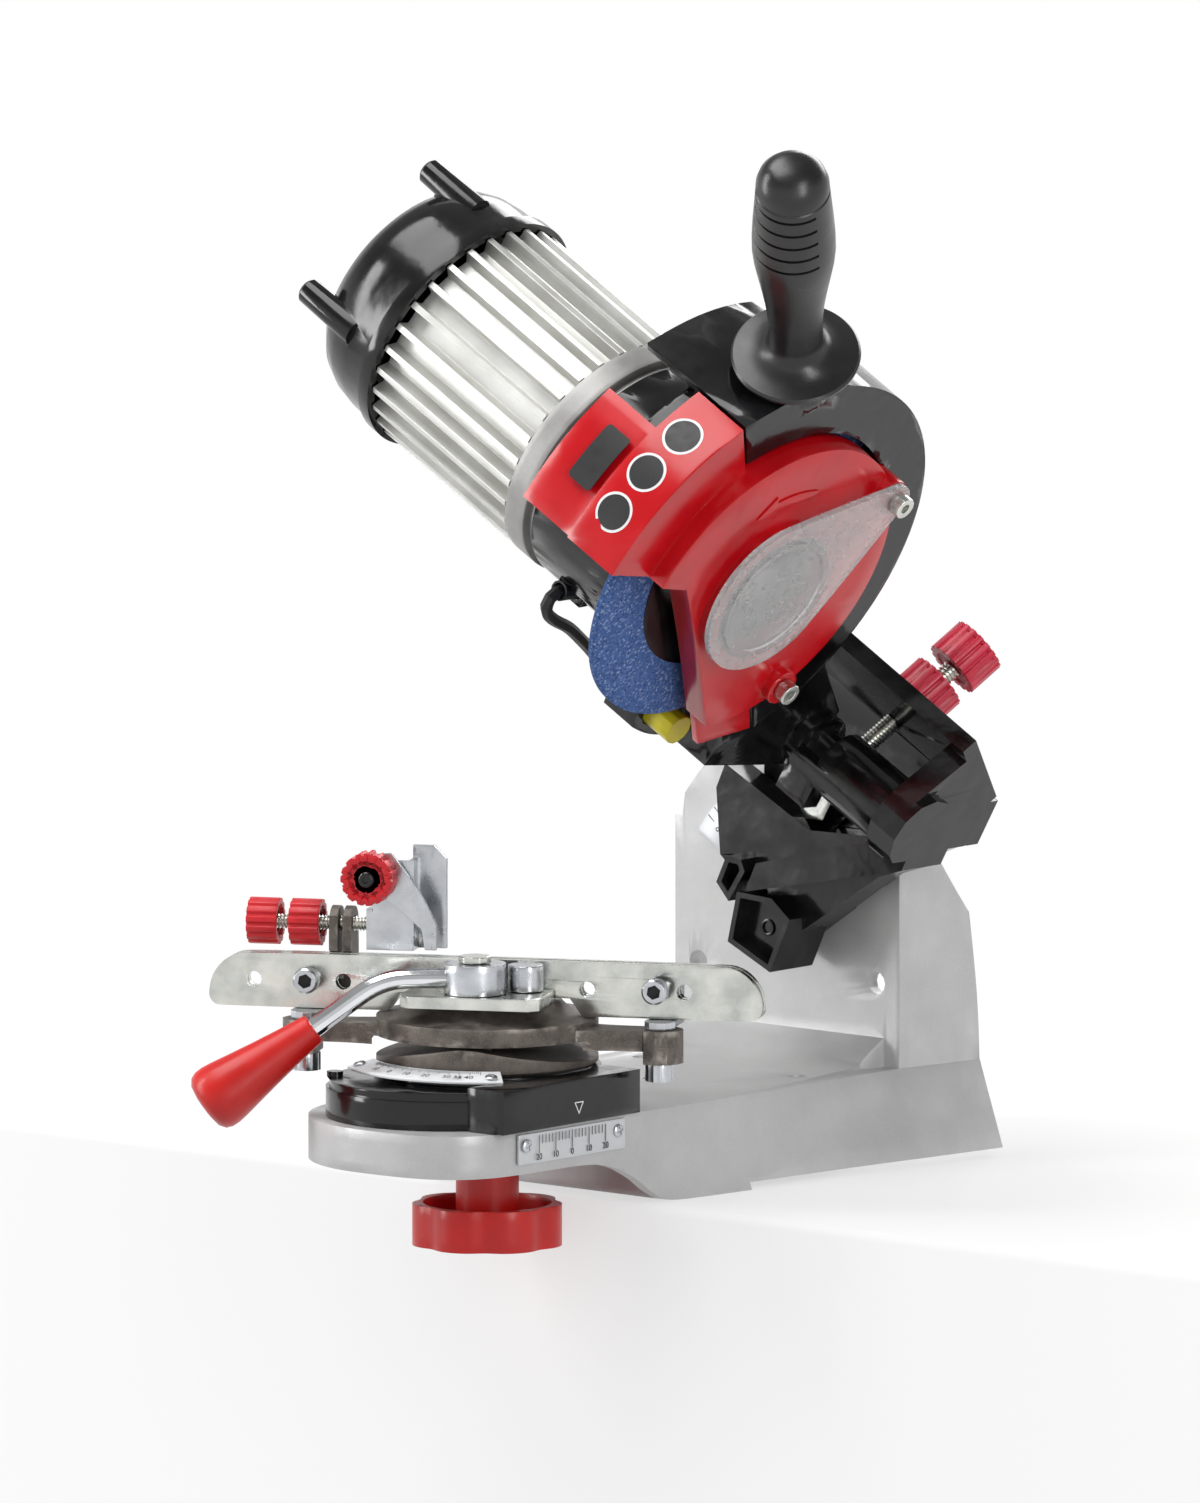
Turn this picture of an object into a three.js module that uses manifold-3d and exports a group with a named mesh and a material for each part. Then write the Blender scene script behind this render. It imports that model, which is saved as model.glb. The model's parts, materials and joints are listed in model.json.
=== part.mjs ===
// Bench grinder for chainsaw chain, in millimetres, +Z up.
// Origin: middle of the base's foot face. +Y runs from the vise at the front to the column at
// the back, and +X is the right-hand side of a person who stands at the vise.
import * as THREE from "three";
import { mergeVertices } from "three/addons/utils/BufferGeometryUtils.js";
import Module from "manifold-3d";

const wasm = await Module();
wasm.setup();

// Driving places and angles of the whole machine
const viseToFoot = 115; // vise axis to the middle of the foot, along Y
const chainLine = 96; // height of the rail tops, which is also the head's tilt axis
const columnFace = 182; // vise axis to the front face of the column plate
const headTilt = THREE.MathUtils.degToRad(30); // wheel leaning out of the upright
const viseTurn = THREE.MathUtils.degToRad(28); // vise turned as it stands on the bench
const wheelRadius = 72.5;
const swingPivot = { back: 137, up: 91 }; // pivot of the swing arm in the tilted frame
const raisedWheel = { back: 37, up: 186.5 }; // wheel centre with the head raised
const clearance = 0.3; // gap between seated pieces
const overrun = 2; // how far a cutting tool runs past the face it opens
const socketFacets = 6;
const round = 28; // facets of a large round
const wheelFacets = 48;
const roundSmall = 12; // facets of a screw, pin or small knob
const mergeStep = 1e-3; // vertices this close are one
const curveSteps = 3; // half the points along each curve of a drawn outline
const lobeSteps = 5; // outline points on one lobe of a knob
const dipPower = 3; // how narrow the dips between a knob's lobes are
const fullTurn = 2 * Math.PI;
const degrees = { full: 360, half: 180, quarter: 90 };
const quarterTurn = Math.PI / 2;

const base = {
  wall: 5,
  top: 37,
  padUnderside: 20,
  padRadius: 54.5,
  padCentre: 25,
  padShares: { left: 1, right: 0.6 }, // powers of the rounding: 1 is a true circle
  roof: 6,
  archFront: 8,
  footFront: 46.6,
  footRear: 222,
  relief: 3,
  reliefFront: 87,
  padEnd: 10,
  frontFoot: 58,
  frontTop: 56,
  middle: 140,
  middleFoot: 68,
  middleTop: 56.5,
  columnFoot: 74,
  rearFoot: 79,
  rearTop: 66,
  columnHalf: 58,
  shoulder: 4,
  plate: 6,
  slotEdge: 9.5,
  columnShares: [
    [0.757, 0.586],
    [0.586, 0.8],
    [0.4, 0.943],
    [0.2, 1],
  ], // across and above the tilt axis, of the clamp slot's reach and the edge past it
  flangeThick: 5,
  flangeTop: 128,
  flangeShares: [
    [0, 1],
    [0.45, 0.945],
    [0.912, 0.648],
    [1, 0.275],
  ], // run behind the column's face, and height over the floor
  flangeFlare: 5,
  gussetRun: 22,
  gussetRise: 13,
  gussetHalf: 50,
  boltHole: 4.2,
  boltPad: 11,
  wallHole: 4.6,
  wallHoleAcross: 46,
  wallHoleUp: 70,
  holeAcross: 40,
  holeBack: 141,
  holeFront: 100,
  frontRib: 44,
  rib: 4,
  footRib: { half: 6, from: 100, to: 122 },
  slotHalf: 5.6,
  slotRun: 20,
};
const tiltSlot = { radius: 55, half: 5.5, from: 42, to: 93 }; // degrees up from the right-hand side
const tiltBolt = { shank: 5, head: 9.5, headDepth: 7 };
const tiltPivot = { radius: 6, head: 10, headDepth: 5, nut: 10, nutDepth: 7 };
const tiltScale = { past: 2, width: 24, thick: 1, from: 126, to: 172 };
const slideScale = { from: 45, to: 17.5, bottom: 24, top: 36, thick: 1 };

const slide = {
  top: 54.4,
  plateTop: 51.5,
  floorRise: 5,
  frontRadius: 48,
  frontCentre: 27,
  left: 48,
  right: 56.5,
  rear: 26,
  blockFront: 56,
  blockInner: 38,
  wall: 3,
  pocket: 45,
  bossRadius: 11,
  bevel: 3,
  hook: { left: 36, front: 49.7, radius: 3.4, rise: 1.8 },
};
const arcScale = { inner: 45.3, outer: 54, thick: 1.2, from: -118, to: -48 };
const clampKnob = {
  stem: 12.5,
  radius: 30,
  bottom: 17.2,
  rim: 0.8,
  floor: 11,
  wall: 4.5,
  lobes: 7,
  lobeDepth: 3.4,
  bore: 5.4,
};
const clampStud = { radius: 5, collar: 7, seatRise: 4, top: 63 };

const seat = {
  radius: 44,
  bottom: 55,
  split: 66,
  roofSlope: THREE.MathUtils.degToRad(10.6),
  barrel: 9,
  bore: 5.4,
  barrelHalf: 32,
  chamfer: 1,
};
const vise = {
  radius: 44,
  split: 66.4,
  top: 79,
  neck: 29,
  neckTop: 80,
  shoulder: 73.5,
  shoulderRun: 6,
  shoulderRise: 0.5,
  armBottom: 58,
  armTop: 71,
  armWidth: 15,
  armOffset: 8,
  armRoot: 36,
  armRootHalf: 12,
  armGap: 2.2,
  armInnerBottom: 63,
  kneeInset: 5,
  eyeRadius: 9.5,
  step: 3,
  well: 4,
  wellGap: 2.5,
};
const clampPlate = { width: 56, depth: 30, thick: 4.6, front: 32, up: 80.3, corner: 4 };
const rail = {
  length: 222,
  height: 21.5,
  thick: 3.4,
  gap: 1.5,
  cornerTop: 16,
  cornerBottom: 9,
  notchDeep: 7,
  notchHalf: 34,
  notchSlope: 5,
  holeRadius: 3.2,
  holeShares: [-0.838, -0.5135, 0.369, 0.7205], // along half the rail
  postInset: 40,
  screwInset: 41,
  screwDrop: 9.5,
};
const postSpan = rail.length / 2 - rail.postInset;
const screwSpan = rail.length / 2 - rail.screwInset;
const railScrew = {
  shank: 3,
  head: 5.2,
  headDepth: 9,
  socket: 2.6,
  socketDeep: 3.5,
  hole: 3.5,
  stand: 1.9,
};
const post = { radius: 4, collar: 6.2, lugHalf: 6, lugThick: 5, footRise: 0.8, lugDrop: 3 };
const thumbNut = { radius: 5.8, thick: 7, knurls: 14, knurlDeep: 0.4, web: 1 };
const cam = {
  front: 22,
  radius: 12.2,
  bottom: 85.2,
  top: 97,
  bolt: 4,
  boltHead: 6.5,
  boltHeadRise: 2.6,
  shoeRadius: 7,
  shoeAcross: 18,
  shoeDrop: 1.5,
};
const lever = {
  rod: 4,
  turn: 195, // degrees from the right-hand rail
  drop: 6,
  reach: 36,
  bend: 9,
  bite: 3,
  bendDrop: 24,
  bendOut: 33.6,
  steps: 12,
  ferrule: 6,
  gripStart: 0.4,
  gripLength: 56,
  gripEnd: 13.5,
  gripShares: [
    [0.48, 0],
    [0.48, 0.06],
    [0.82, 0.55],
    [1, 0.82],
    [0.92, 0.94],
    [0.6, 1],
    [0, 1.02],
  ], // radius and place along the grip
};
// The chain stop's places along X are given from the left rail post
const stop = {
  axisBack: 10,
  axisUp: 10.5,
  screw: 3,
  screwTo: 26,
  knobRadius: 9.2,
  knobThick: 12,
  adjustAt: -20.5,
  lockAt: -3.5,
  washerRadius: 8,
  postGap: 0.6,
  bracketTo: 15.5,
  ear: 3.4,
  earRadius: 7,
  footDrop: 16,
  footHigh: 5,
  plate: 2.4,
  frontBack: 1.6,
  rearBack: 11.5,
  left: { in: 22, out: 41 },
  rearOut: 52,
  base: 1.4,
  shoulder: 37,
  rearTop: 42,
  hook: 5,
  pivotAlong: 25,
  pivotUp: 31,
  slope: 6,
  pinRadius: 2.2,
  pinProud: 2,
  pawlThick: 2,
  pawlHalf: 5,
  pawlKnee: { along: 31, up: 22 },
  pawlTip: { along: 45, up: 2.5 },
  pawlKnobRadius: 11.2,
  pawlKnobThick: 11,
  ribs: 14,
  ribDeep: 0.7,
};
const bracket = {
  left: 45,
  right: 68,
  cheek: 7,
  rightCheek: 11,
  wall: 7,
  boltPad: 13,
  padProud: 2,
  bossRadius: 16.5,
  bossProud: 3,
  pinStop: 4,
  reach: 45,
  roofHalf: 22,
  wallPast: 9,
  wallShares: [
    [-0.667, -0.18],
    [-0.311, -0.32],
    [0.3235, -0.32],
    [0.529, -0.18],
    [1, 0.5],
    [1, 1],
    [-1, 1],
    [-1, 0.68],
    [-0.667, 0.4],
  ], // of the left or right reach, and of the wall's top
  cheekLap: 2,
  cheekHigh: 35,
  cheekShares: [
    [-0.225, -0.4],
    [-0.4, 0],
    [-0.25, 0.4],
    [0.375, 1],
    [0.8, 0.514],
    [1, 0.229],
    [1, -0.286],
    [0.5, -0.629],
    [0.1, -0.543],
  ], // of the run from the pivot back to the wall, and of the height over the pivot
  lugRoot: 5,
  lugRun: 31,
  lugDrop: 33,
  lugShares: [
    [0, -0.364],
    [0.677, -0.364],
    [1, -0.545],
    [1, -0.848],
    [0.677, -1],
    [0, -0.909],
  ],
  lugHollowShares: [
    [0.194, -0.455],
    [0.645, -0.455],
    [0.903, -0.606],
    [0.903, -0.818],
    [0.645, -0.909],
    [0.194, -0.818],
  ],
  lugLeft: 2,
  lugRight: 20,
  lugWall: 3,
};
const swingPin = { radius: 5, head: 8, headDepth: 4 };
const depth = {
  across: 16,
  tip: { back: 8, up: -12 },
  screw: 4,
  washer: 9,
  lockAt: 44,
  lockThick: 15,
  knobAt: 66,
  knobThick: 15,
  knobRadius: 12,
  roofFrom: 31,
  roofThick: 7,
  slope: THREE.MathUtils.degToRad(45),
};
const tiltKnob = { radius: 25.5, thick: 17, front: 222, hub: 9, lobes: 6, lobeDeep: 3 };
const spring = { radius: 10.5, wire: 1.1, turns: 5, from: 36.6, to: 10.4, steps: 8, wireFacets: 5 };

const housing = {
  radius: 92,
  wall: 4,
  front: 12,
  rear: 46,
  webRear: 22,
  webFront: 16,
  face: 3,
  faceWidth: 22.5,
  from: -58,
  to: 122,
  webTo: 168,
  webLap: 4,
  webLeftShort: 5.9,
  hub: 50,
  hubWall: 5,
  hubRear: 61,
  shaftHole: 13,
  chamberWall: 15,
  chamberRear: 13,
  earHalf: 8,
  earRear: 4.5,
  earSink: 10,
};
const arm = {
  left: 9,
  right: 56.7,
  boss: 14,
  webLeft: 33,
  webRight: 4,
  lobeRight: 16,
  shares: [
    [0.4, -0.628],
    [0.8, -0.5235],
    [1.12, -0.8795],
    [1.08, -1.11],
    [0.88, -1.12],
    [0.4, -1.0575],
  ], // of the wheel's run and rise from the swing pivot
  lobeShares: [
    [0.2, -0.45],
    [0.5, -0.5445],
    [0.5, -1.0575],
    [0.24, -1.0315],
    [0.12, -0.974],
    [0.1, -0.838],
    [0.14, -0.628],
  ],
  springRoom: 13.5,
  springFrom: 37,
  lowered: 49, // degrees of swing at which the stop lug meets the depth screw
  stopHalf: 8,
  stopReach: 19,
  stopDeep: 9,
  stopGap: 0.4,
  stopSink: 9,
  groove: 20,
  grooveHalf: 5.5,
  neck: 9.4,
};
const guard = {
  discInset: 25,
  front: 20,
  plate: 3,
  wall: 3,
  wallRear: 8,
  sectorFront: 12.4,
  bandRear: 14,
  bandThick: 3,
  from: 123,
  to: 172,
  ring: 32.5,
  ringWall: 4,
  ringFront: 24,
  tailFront: 13,
  tailShares: [
    [0.119, -0.896],
    [0.045, -0.955],
    [0.224, -1.209],
    [0.657, -1.149],
    [0.537, -0.94],
    [0.448, -0.836],
    [0.299, -0.896],
  ], // of the disc's radius
  openShares: [
    [-2.09, 0.2985],
    [-1.433, 0.209],
    [-0.746, 0.0895],
    [-0.343, -0.418],
    [0.224, -1.209],
    [0.224, -2.09],
    [-2.09, -2.09],
  ],
  carrierRear: 42,
  carrierFrom: 137,
  carrierInset: 2,
  boss: 7.5,
};
const lens = {
  radius: 34.5,
  tip: 7,
  tipTurn: 39.92, // degrees
  tipInset: 3.11,
  centre: { back: -1, up: 1 },
  rear: 24.3,
  thick: 2.6,
  ring: 27,
  ringWidth: 2.4,
  ringRise: 1.2,
};
const coverScrew = { shank: 2.6, head: 4.6, headDepth: 5, socket: 2.2, socketDeep: 2.6, rear: 5 };
const lowerBoss = { turn: -53.7, inset: 6.2 }; // degrees, and in from the guard's edge
const discRadius = housing.radius - guard.discInset;
const fromHub = (radius, degrees) => ({
  back: radius * Math.cos(THREE.MathUtils.degToRad(degrees)),
  up: radius * Math.sin(THREE.MathUtils.degToRad(degrees)),
});
const lensTip = fromHub(discRadius - lens.tipInset, lens.tipTurn);
const lowerScrew = fromHub(discRadius - lowerBoss.inset, lowerBoss.turn);
const wheel = { thick: 4.8, bore: 11.2, taper: 0.9, taperRun: 5 };
const flanges = { radius: 29, thick: 5, hub: 11, rim: 4, recess: 1.5, nut: 9, nutThick: 4.6 };
const shaft = { radius: 6, front: 12, rear: 191, rotor: 22, rotorFrom: 96, rotorTo: 136 };
const bearing = { outer: 16, bore: 6.3, thick: 9, front: 68, rear: 184 };
const stator = { inner: 22.8, outer: 44, from: 92, to: 140, teeth: 9, slot: 3, slotTo: 36 };
const motor = {
  flangeFront: 61.4,
  flangeRear: 76,
  flangeRadius: 51,
  bodyRear: 155,
  finOuter: 50.5,
  finRoot: 46.5,
  bore: 44.4,
  fins: 36,
  finShare: 0.42,
  rootShare: 1.4,
  shaftGap: 1.5,
  flangeStep: 4,
  capRear: 199,
  capRadius: 52.7,
  capWall: 3,
  capLip: 5,
  capEndShare: 0.55,
  capShoulderShare: 0.86,
  capEndDepthShare: 0.12,
  capShoulderDepthShare: 0.4,
  posts: 4,
  postRadius: 5,
  postAt: 50,
  postTurn: 40,
  postRear: 188,
  postWebRear: 184,
};
const fan = { hub: 10, radius: 38, rear: 172, thick: 8, blades: 7, blade: 1.6, plate: 2 };
const handle = {
  footTurn: 100.41,
  footStand: 7.64,
  turn: 121.6,
  disc: 25,
  discRise: 9,
  neck: 9.5,
  waist: 10.6,
  waistAt: 38,
  grip: 16.3,
  gripAt: 62,
  groove: 14,
  grooveAt: 86,
  discEdge: 2,
  gripWaist: 1,
  ball: 14.4,
  ballAt: 100,
  length: 116,
  crownShares: [
    [0.93, 0.38],
    [0.72, 0.72],
    [0.4, 0.93],
    [0, 1],
  ], // radius and height of the rounded end
  stud: 5,
  studLong: 12,
  socket: 14,
  socketLong: 16,
};
const lamp = { back: 22, up: 86, radius: 6.5, from: 38, to: 2, socket: 5 };
const lead = {
  radius: 2.6,
  sleeve: 4.2,
  sleeveLength: 18,
  grip: 2,
  boss: 5.5,
  bossLeft: 23,
  bossRight: 10,
  bossTop: 36.5,
  steps: 26,
  facets: 6,
  route: [
    [-45, -14.7, -42],
    [-45, -25, -42],
    [-45, -32.6, -42],
    [-45, -36.6, -46],
    [-45, -34.8, -51.5],
    [-45, -27.5, -56.5],
    [-45, -16, -61.5],
    [-46, -2, -70],
    [-48, 12, -79],
    [-46, 20, -85],
    [-41, 22, -86],
    [-33.3, 22, -86],
  ],
};
const toggle = {
  width: 12,
  height: 20,
  depth: 7,
  from: 34,
  edge: 2,
  padRise: 1.5,
  padEdge: 3,
  floor: 1.4,
  rockerLong: 14,
  rockerGap: 0.4,
  rockerLow: 2.8,
  rockerHigh: 8.6,
  axle: 1,
  axleUp: 4.4,
  axleBite: 1,
  lean: 8, // degrees off level in the off position
};

// Numbers to solids: every closed geometry becomes a solid that can be joined and cut.
function toSolid(geometry) {
  const flat = geometry.index ? geometry.toNonIndexed() : geometry.clone();
  const bare = new THREE.BufferGeometry();
  bare.setAttribute("position", flat.getAttribute("position"));
  const merged = mergeVertices(bare, mergeStep);
  const triVerts = new Uint32Array(merged.index.array);
  const vertProperties = merged.attributes.position.array;
  const made = new wasm.Manifold(new wasm.Mesh({ numProp: 3, vertProperties, triVerts }));
  if (made.volume() > 0) return made;
  for (let i = 0; i < triVerts.length; i += 3) {
    [triVerts[i + 1], triVerts[i + 2]] = [triVerts[i + 2], triVerts[i + 1]];
  }
  return new wasm.Manifold(new wasm.Mesh({ numProp: 3, vertProperties, triVerts }));
}

// A solid back to a geometry that a mesh can hold
function toGeometry(made) {
  const mesh = made.getMesh();
  const count = mesh.numVert;
  const places = new Float32Array(count * 3);
  for (let i = 0; i < count; i++) {
    const from = i * mesh.numProp;
    places.set(mesh.vertProperties.subarray(from, from + 3), i * 3);
  }
  const geometry = new THREE.BufferGeometry();
  geometry.setAttribute("position", new THREE.BufferAttribute(places, 3));
  geometry.setIndex(new THREE.BufferAttribute(new Uint32Array(mesh.triVerts), 1));
  return geometry;
}

const join = (...solids) => solids.reduce((a, b) => a.add(b));
const cut = (body, ...tools) => tools.reduce((a, b) => a.subtract(b), body);
const common = (a, b) => a.intersect(b);

// Basic closed shapes, each given by its limits or its axis
function block(x0, x1, y0, y1, z0, z1) {
  const shape = new THREE.BoxGeometry(x1 - x0, y1 - y0, z1 - z0);
  return toSolid(shape.translate((x0 + x1) / 2, (y0 + y1) / 2, (z0 + z1) / 2));
}
function rodZ(radius, z0, z1, x = 0, y = 0, facets = roundSmall) {
  const shape = new THREE.CylinderGeometry(radius, radius, z1 - z0, facets);
  return toSolid(shape.rotateX(quarterTurn).translate(x, y, (z0 + z1) / 2));
}
function rodX(radius, x0, x1, y = 0, z = 0, facets = roundSmall) {
  const shape = new THREE.CylinderGeometry(radius, radius, x1 - x0, facets);
  return toSolid(shape.rotateZ(quarterTurn).translate((x0 + x1) / 2, y, z));
}
function rodY(radius, y0, y1, x = 0, z = 0, facets = roundSmall) {
  const shape = new THREE.CylinderGeometry(radius, radius, y1 - y0, facets);
  return toSolid(shape.translate(x, (y0 + y1) / 2, z));
}
const outline = (points) => new THREE.Shape(points.map(([a, b]) => new THREE.Vector2(a, b)));

// Outline in X and Y, raised from z0 to z1
function slabZ(shape, z0, z1, facets = curveSteps) {
  const options = { depth: z1 - z0, bevelEnabled: false, curveSegments: facets };
  return toSolid(new THREE.ExtrudeGeometry(shape, options).translate(0, 0, z0));
}
// Outline in Y and Z, run from x0 to x1
function slabX(shape, x0, x1, facets = curveSteps) {
  const options = { depth: x1 - x0, bevelEnabled: false, curveSegments: facets };
  const made = new THREE.ExtrudeGeometry(shape, options);
  return toSolid(made.rotateY(quarterTurn).rotateX(quarterTurn).translate(x0, 0, 0));
}
// Outline in X and Z, run from y0 to y1
function slabY(shape, y0, y1, facets = curveSteps) {
  const options = { depth: y1 - y0, bevelEnabled: false, curveSegments: facets };
  const made = new THREE.ExtrudeGeometry(shape, options);
  return toSolid(made.rotateX(quarterTurn).translate(0, y1, 0));
}
// Profile of [radius, height] turned about Z, or of [radius, place] turned about X
function turnedZ(profile, facets = round) {
  const points = profile.map(([r, h]) => new THREE.Vector2(r, h));
  return toSolid(new THREE.LatheGeometry(points, facets).rotateX(quarterTurn));
}
function turnedX(profile, facets = round) {
  const points = profile.map(([r, h]) => new THREE.Vector2(r, h));
  return toSolid(new THREE.LatheGeometry(points, facets).rotateZ(-quarterTurn));
}
// Points along an arc, with as many as its share of a full round needs
function arcPoints(x, y, radius, fromTurn, toTurn, facets = round) {
  const steps = Math.max(2, Math.ceil((facets * Math.abs(toTurn - fromTurn)) / fullTurn));
  const points = [];
  for (let i = 0; i <= steps; i++) {
    const turn = fromTurn + ((toTurn - fromTurn) * i) / steps;
    points.push([x + radius * Math.cos(turn), y + radius * Math.sin(turn)]);
  }
  return points;
}
// Part ring between two radii and two angles in degrees, as an outline
function ringShape(inner, outer, fromTurn, toTurn) {
  const a = THREE.MathUtils.degToRad(fromTurn);
  const b = THREE.MathUtils.degToRad(toTurn);
  return outline([...arcPoints(0, 0, outer, a, b), ...arcPoints(0, 0, inner, b, a)]);
}
// Stadium between two points, as an outline
function slotShape(x0, y0, x1, y1, half) {
  const lie = Math.atan2(y1 - y0, x1 - x0);
  const far = arcPoints(x1, y1, half, lie - quarterTurn, lie + quarterTurn);
  return outline([...far, ...arcPoints(x0, y0, half, lie + quarterTurn, lie + 3 * quarterTurn)]);
}
// Convex outline round two unequal circles, as a teardrop
function teardropShape(a, radiusA, b, radiusB) {
  const lie = Math.atan2(b.up - a.up, b.back - a.back);
  const apart = Math.hypot(b.back - a.back, b.up - a.up);
  const open = Math.acos((radiusA - radiusB) / apart);
  const small = arcPoints(b.back, b.up, radiusB, lie - open, lie + open);
  return outline([...small, ...arcPoints(a.back, a.up, radiusA, lie + open, lie - open + fullTurn)]);
}
function steelNut(radius, z0, z1, knurls, deep) {
  const ring = [];
  for (let i = 0; i < knurls * 2; i++) {
    const turn = (i * Math.PI) / knurls;
    const reach = i % 2 ? radius - deep : radius;
    ring.push([reach * Math.cos(turn), reach * Math.sin(turn)]);
  }
  return slabZ(outline(ring), z0, z1);
}
// Knob with rounded lobes, flat faces across Z
function lobedKnob(radius, deep, lobes, z0, z1) {
  const ring = [];
  const steps = lobes * lobeSteps;
  for (let i = 0; i < steps; i++) {
    const turn = (i * fullTurn) / steps;
    const dip = ((1 + Math.cos(lobes * turn)) / 2) ** dipPower;
    const reach = radius - deep * dip;
    ring.push([reach * Math.cos(turn), reach * Math.sin(turn)]);
  }
  return slabZ(outline(ring), z0, z1);
}
// Body between two outlines of as many points, the lower at z0 and the upper at z1
function loft(lower, z0, upper, z1) {
  const count = lower.length;
  const places = [];
  lower.forEach(([x, y]) => places.push(x, y, z0));
  upper.forEach(([x, y]) => places.push(x, y, z1));
  const index = [];
  for (let i = 0; i < count; i++) {
    const next = (i + 1) % count;
    index.push(i, next, count + next, i, count + next, count + i);
  }
  const flat = lower.map(([x, y]) => new THREE.Vector2(x, y));
  THREE.ShapeUtils.triangulateShape(flat, []).forEach(([a, b, c]) => {
    index.push(a, c, b, count + a, count + b, count + c);
  });
  const geometry = new THREE.BufferGeometry();
  geometry.setAttribute("position", new THREE.Float32BufferAttribute(places, 3));
  geometry.setIndex(index);
  return toSolid(geometry);
}

function material(colour, roughness, metalness) {
  return new THREE.MeshStandardMaterial({ color: colour, roughness, metalness });
}
const finishes = {
  paint: () => material("#c4c5c7", 0.45, 0.3),
  blackEnamel: () => material("#141416", 0.25, 0.1),
  castIron: () => material("#6e6862", 0.75, 0.6),
  zinc: () => material("#d9d8c6", 0.35, 0.9),
  steel: () => material("#b9bcc0", 0.3, 1),
  chrome: () => material("#e2e4e6", 0.1, 1),
  redPlastic: () => material("#d81e2c", 0.5, 0),
  crimson: () => material("#d4163c", 0.5, 0),
  guardRed: () => material("#c8141e", 0.3, 0.1),
  blackPlastic: () => material("#1b1b1c", 0.6, 0),
  clear: () => material("#e6e8e8", 0.2, 0),
  stone: () => material("#3f5c93", 0.95, 0),
  aluminium: () => material("#d0d2d4", 0.35, 0.9),
  castGrey: () => material("#a9a49c", 0.6, 0.6),
  yellow: () => material("#d8cc1e", 0.5, 0),
  copper: () => material("#a8643c", 0.5, 0.7),
  plateWhite: () => material("#d9dadb", 0.5, 0.2),
  rubber: () => material("#161616", 0.8, 0),
};
function piece(name, made, finish) {
  const mesh = new THREE.Mesh(toGeometry(made), finishes[finish]());
  mesh.name = name;
  return mesh;
}

// Cast base: hollow pad and floor, column plate with two flanges, open from below and behind
function padArc(radius, steps = roundSmall) {
  const ring = [];
  for (let i = 0; i <= steps; i++) {
    const turn = Math.PI + (i * Math.PI) / steps;
    const power = turn > 3 * quarterTurn ? base.padShares.right : base.padShares.left;
    const across = Math.sign(Math.cos(turn)) * Math.abs(Math.cos(turn)) ** power;
    ring.push([radius * across, -base.padCentre - radius * Math.abs(Math.sin(turn)) ** power]);
  }
  return ring;
}
const baseStations = () => [
  { y: base.padEnd, foot: base.padRadius, top: base.padRadius },
  { y: base.footFront, foot: base.frontFoot, top: base.frontTop },
  { y: base.middle, foot: base.middleFoot, top: base.middleTop },
  { y: columnFace, foot: base.columnFoot, top: base.columnHalf },
  { y: base.footRear, foot: base.rearFoot, top: base.rearTop },
];
const floorHoles = () => [
  [base.holeAcross, base.holeBack],
  [-base.holeAcross, base.holeBack],
  [0, base.holeFront],
];
function baseOutline(key, inset) {
  const right = baseStations().map((s) => [s[key] - inset, s.y]);
  const left = right.map(([x, y]) => [-x, y]).reverse();
  return [...padArc(base.padRadius - inset), ...right, ...left];
}
function baseSide(lift, start) {
  const side = new THREE.Shape();
  const front = -base.padCentre - base.padRadius - overrun;
  const under = base.padUnderside - lift;
  side.moveTo(front, under);
  side.lineTo(-base.archFront, under);
  side.quadraticCurveTo(-base.archFront + under, under, base.footFront - under, under / 2 - lift / 2);
  side.quadraticCurveTo(base.footFront - under / 2, 0 - lift, base.footFront, 0 - lift);
  side.lineTo(base.footRear + overrun, 0 - lift);
  side.lineTo(base.footRear + overrun, base.top + start);
  side.lineTo(front, base.top + start);
  return side;
}
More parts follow.
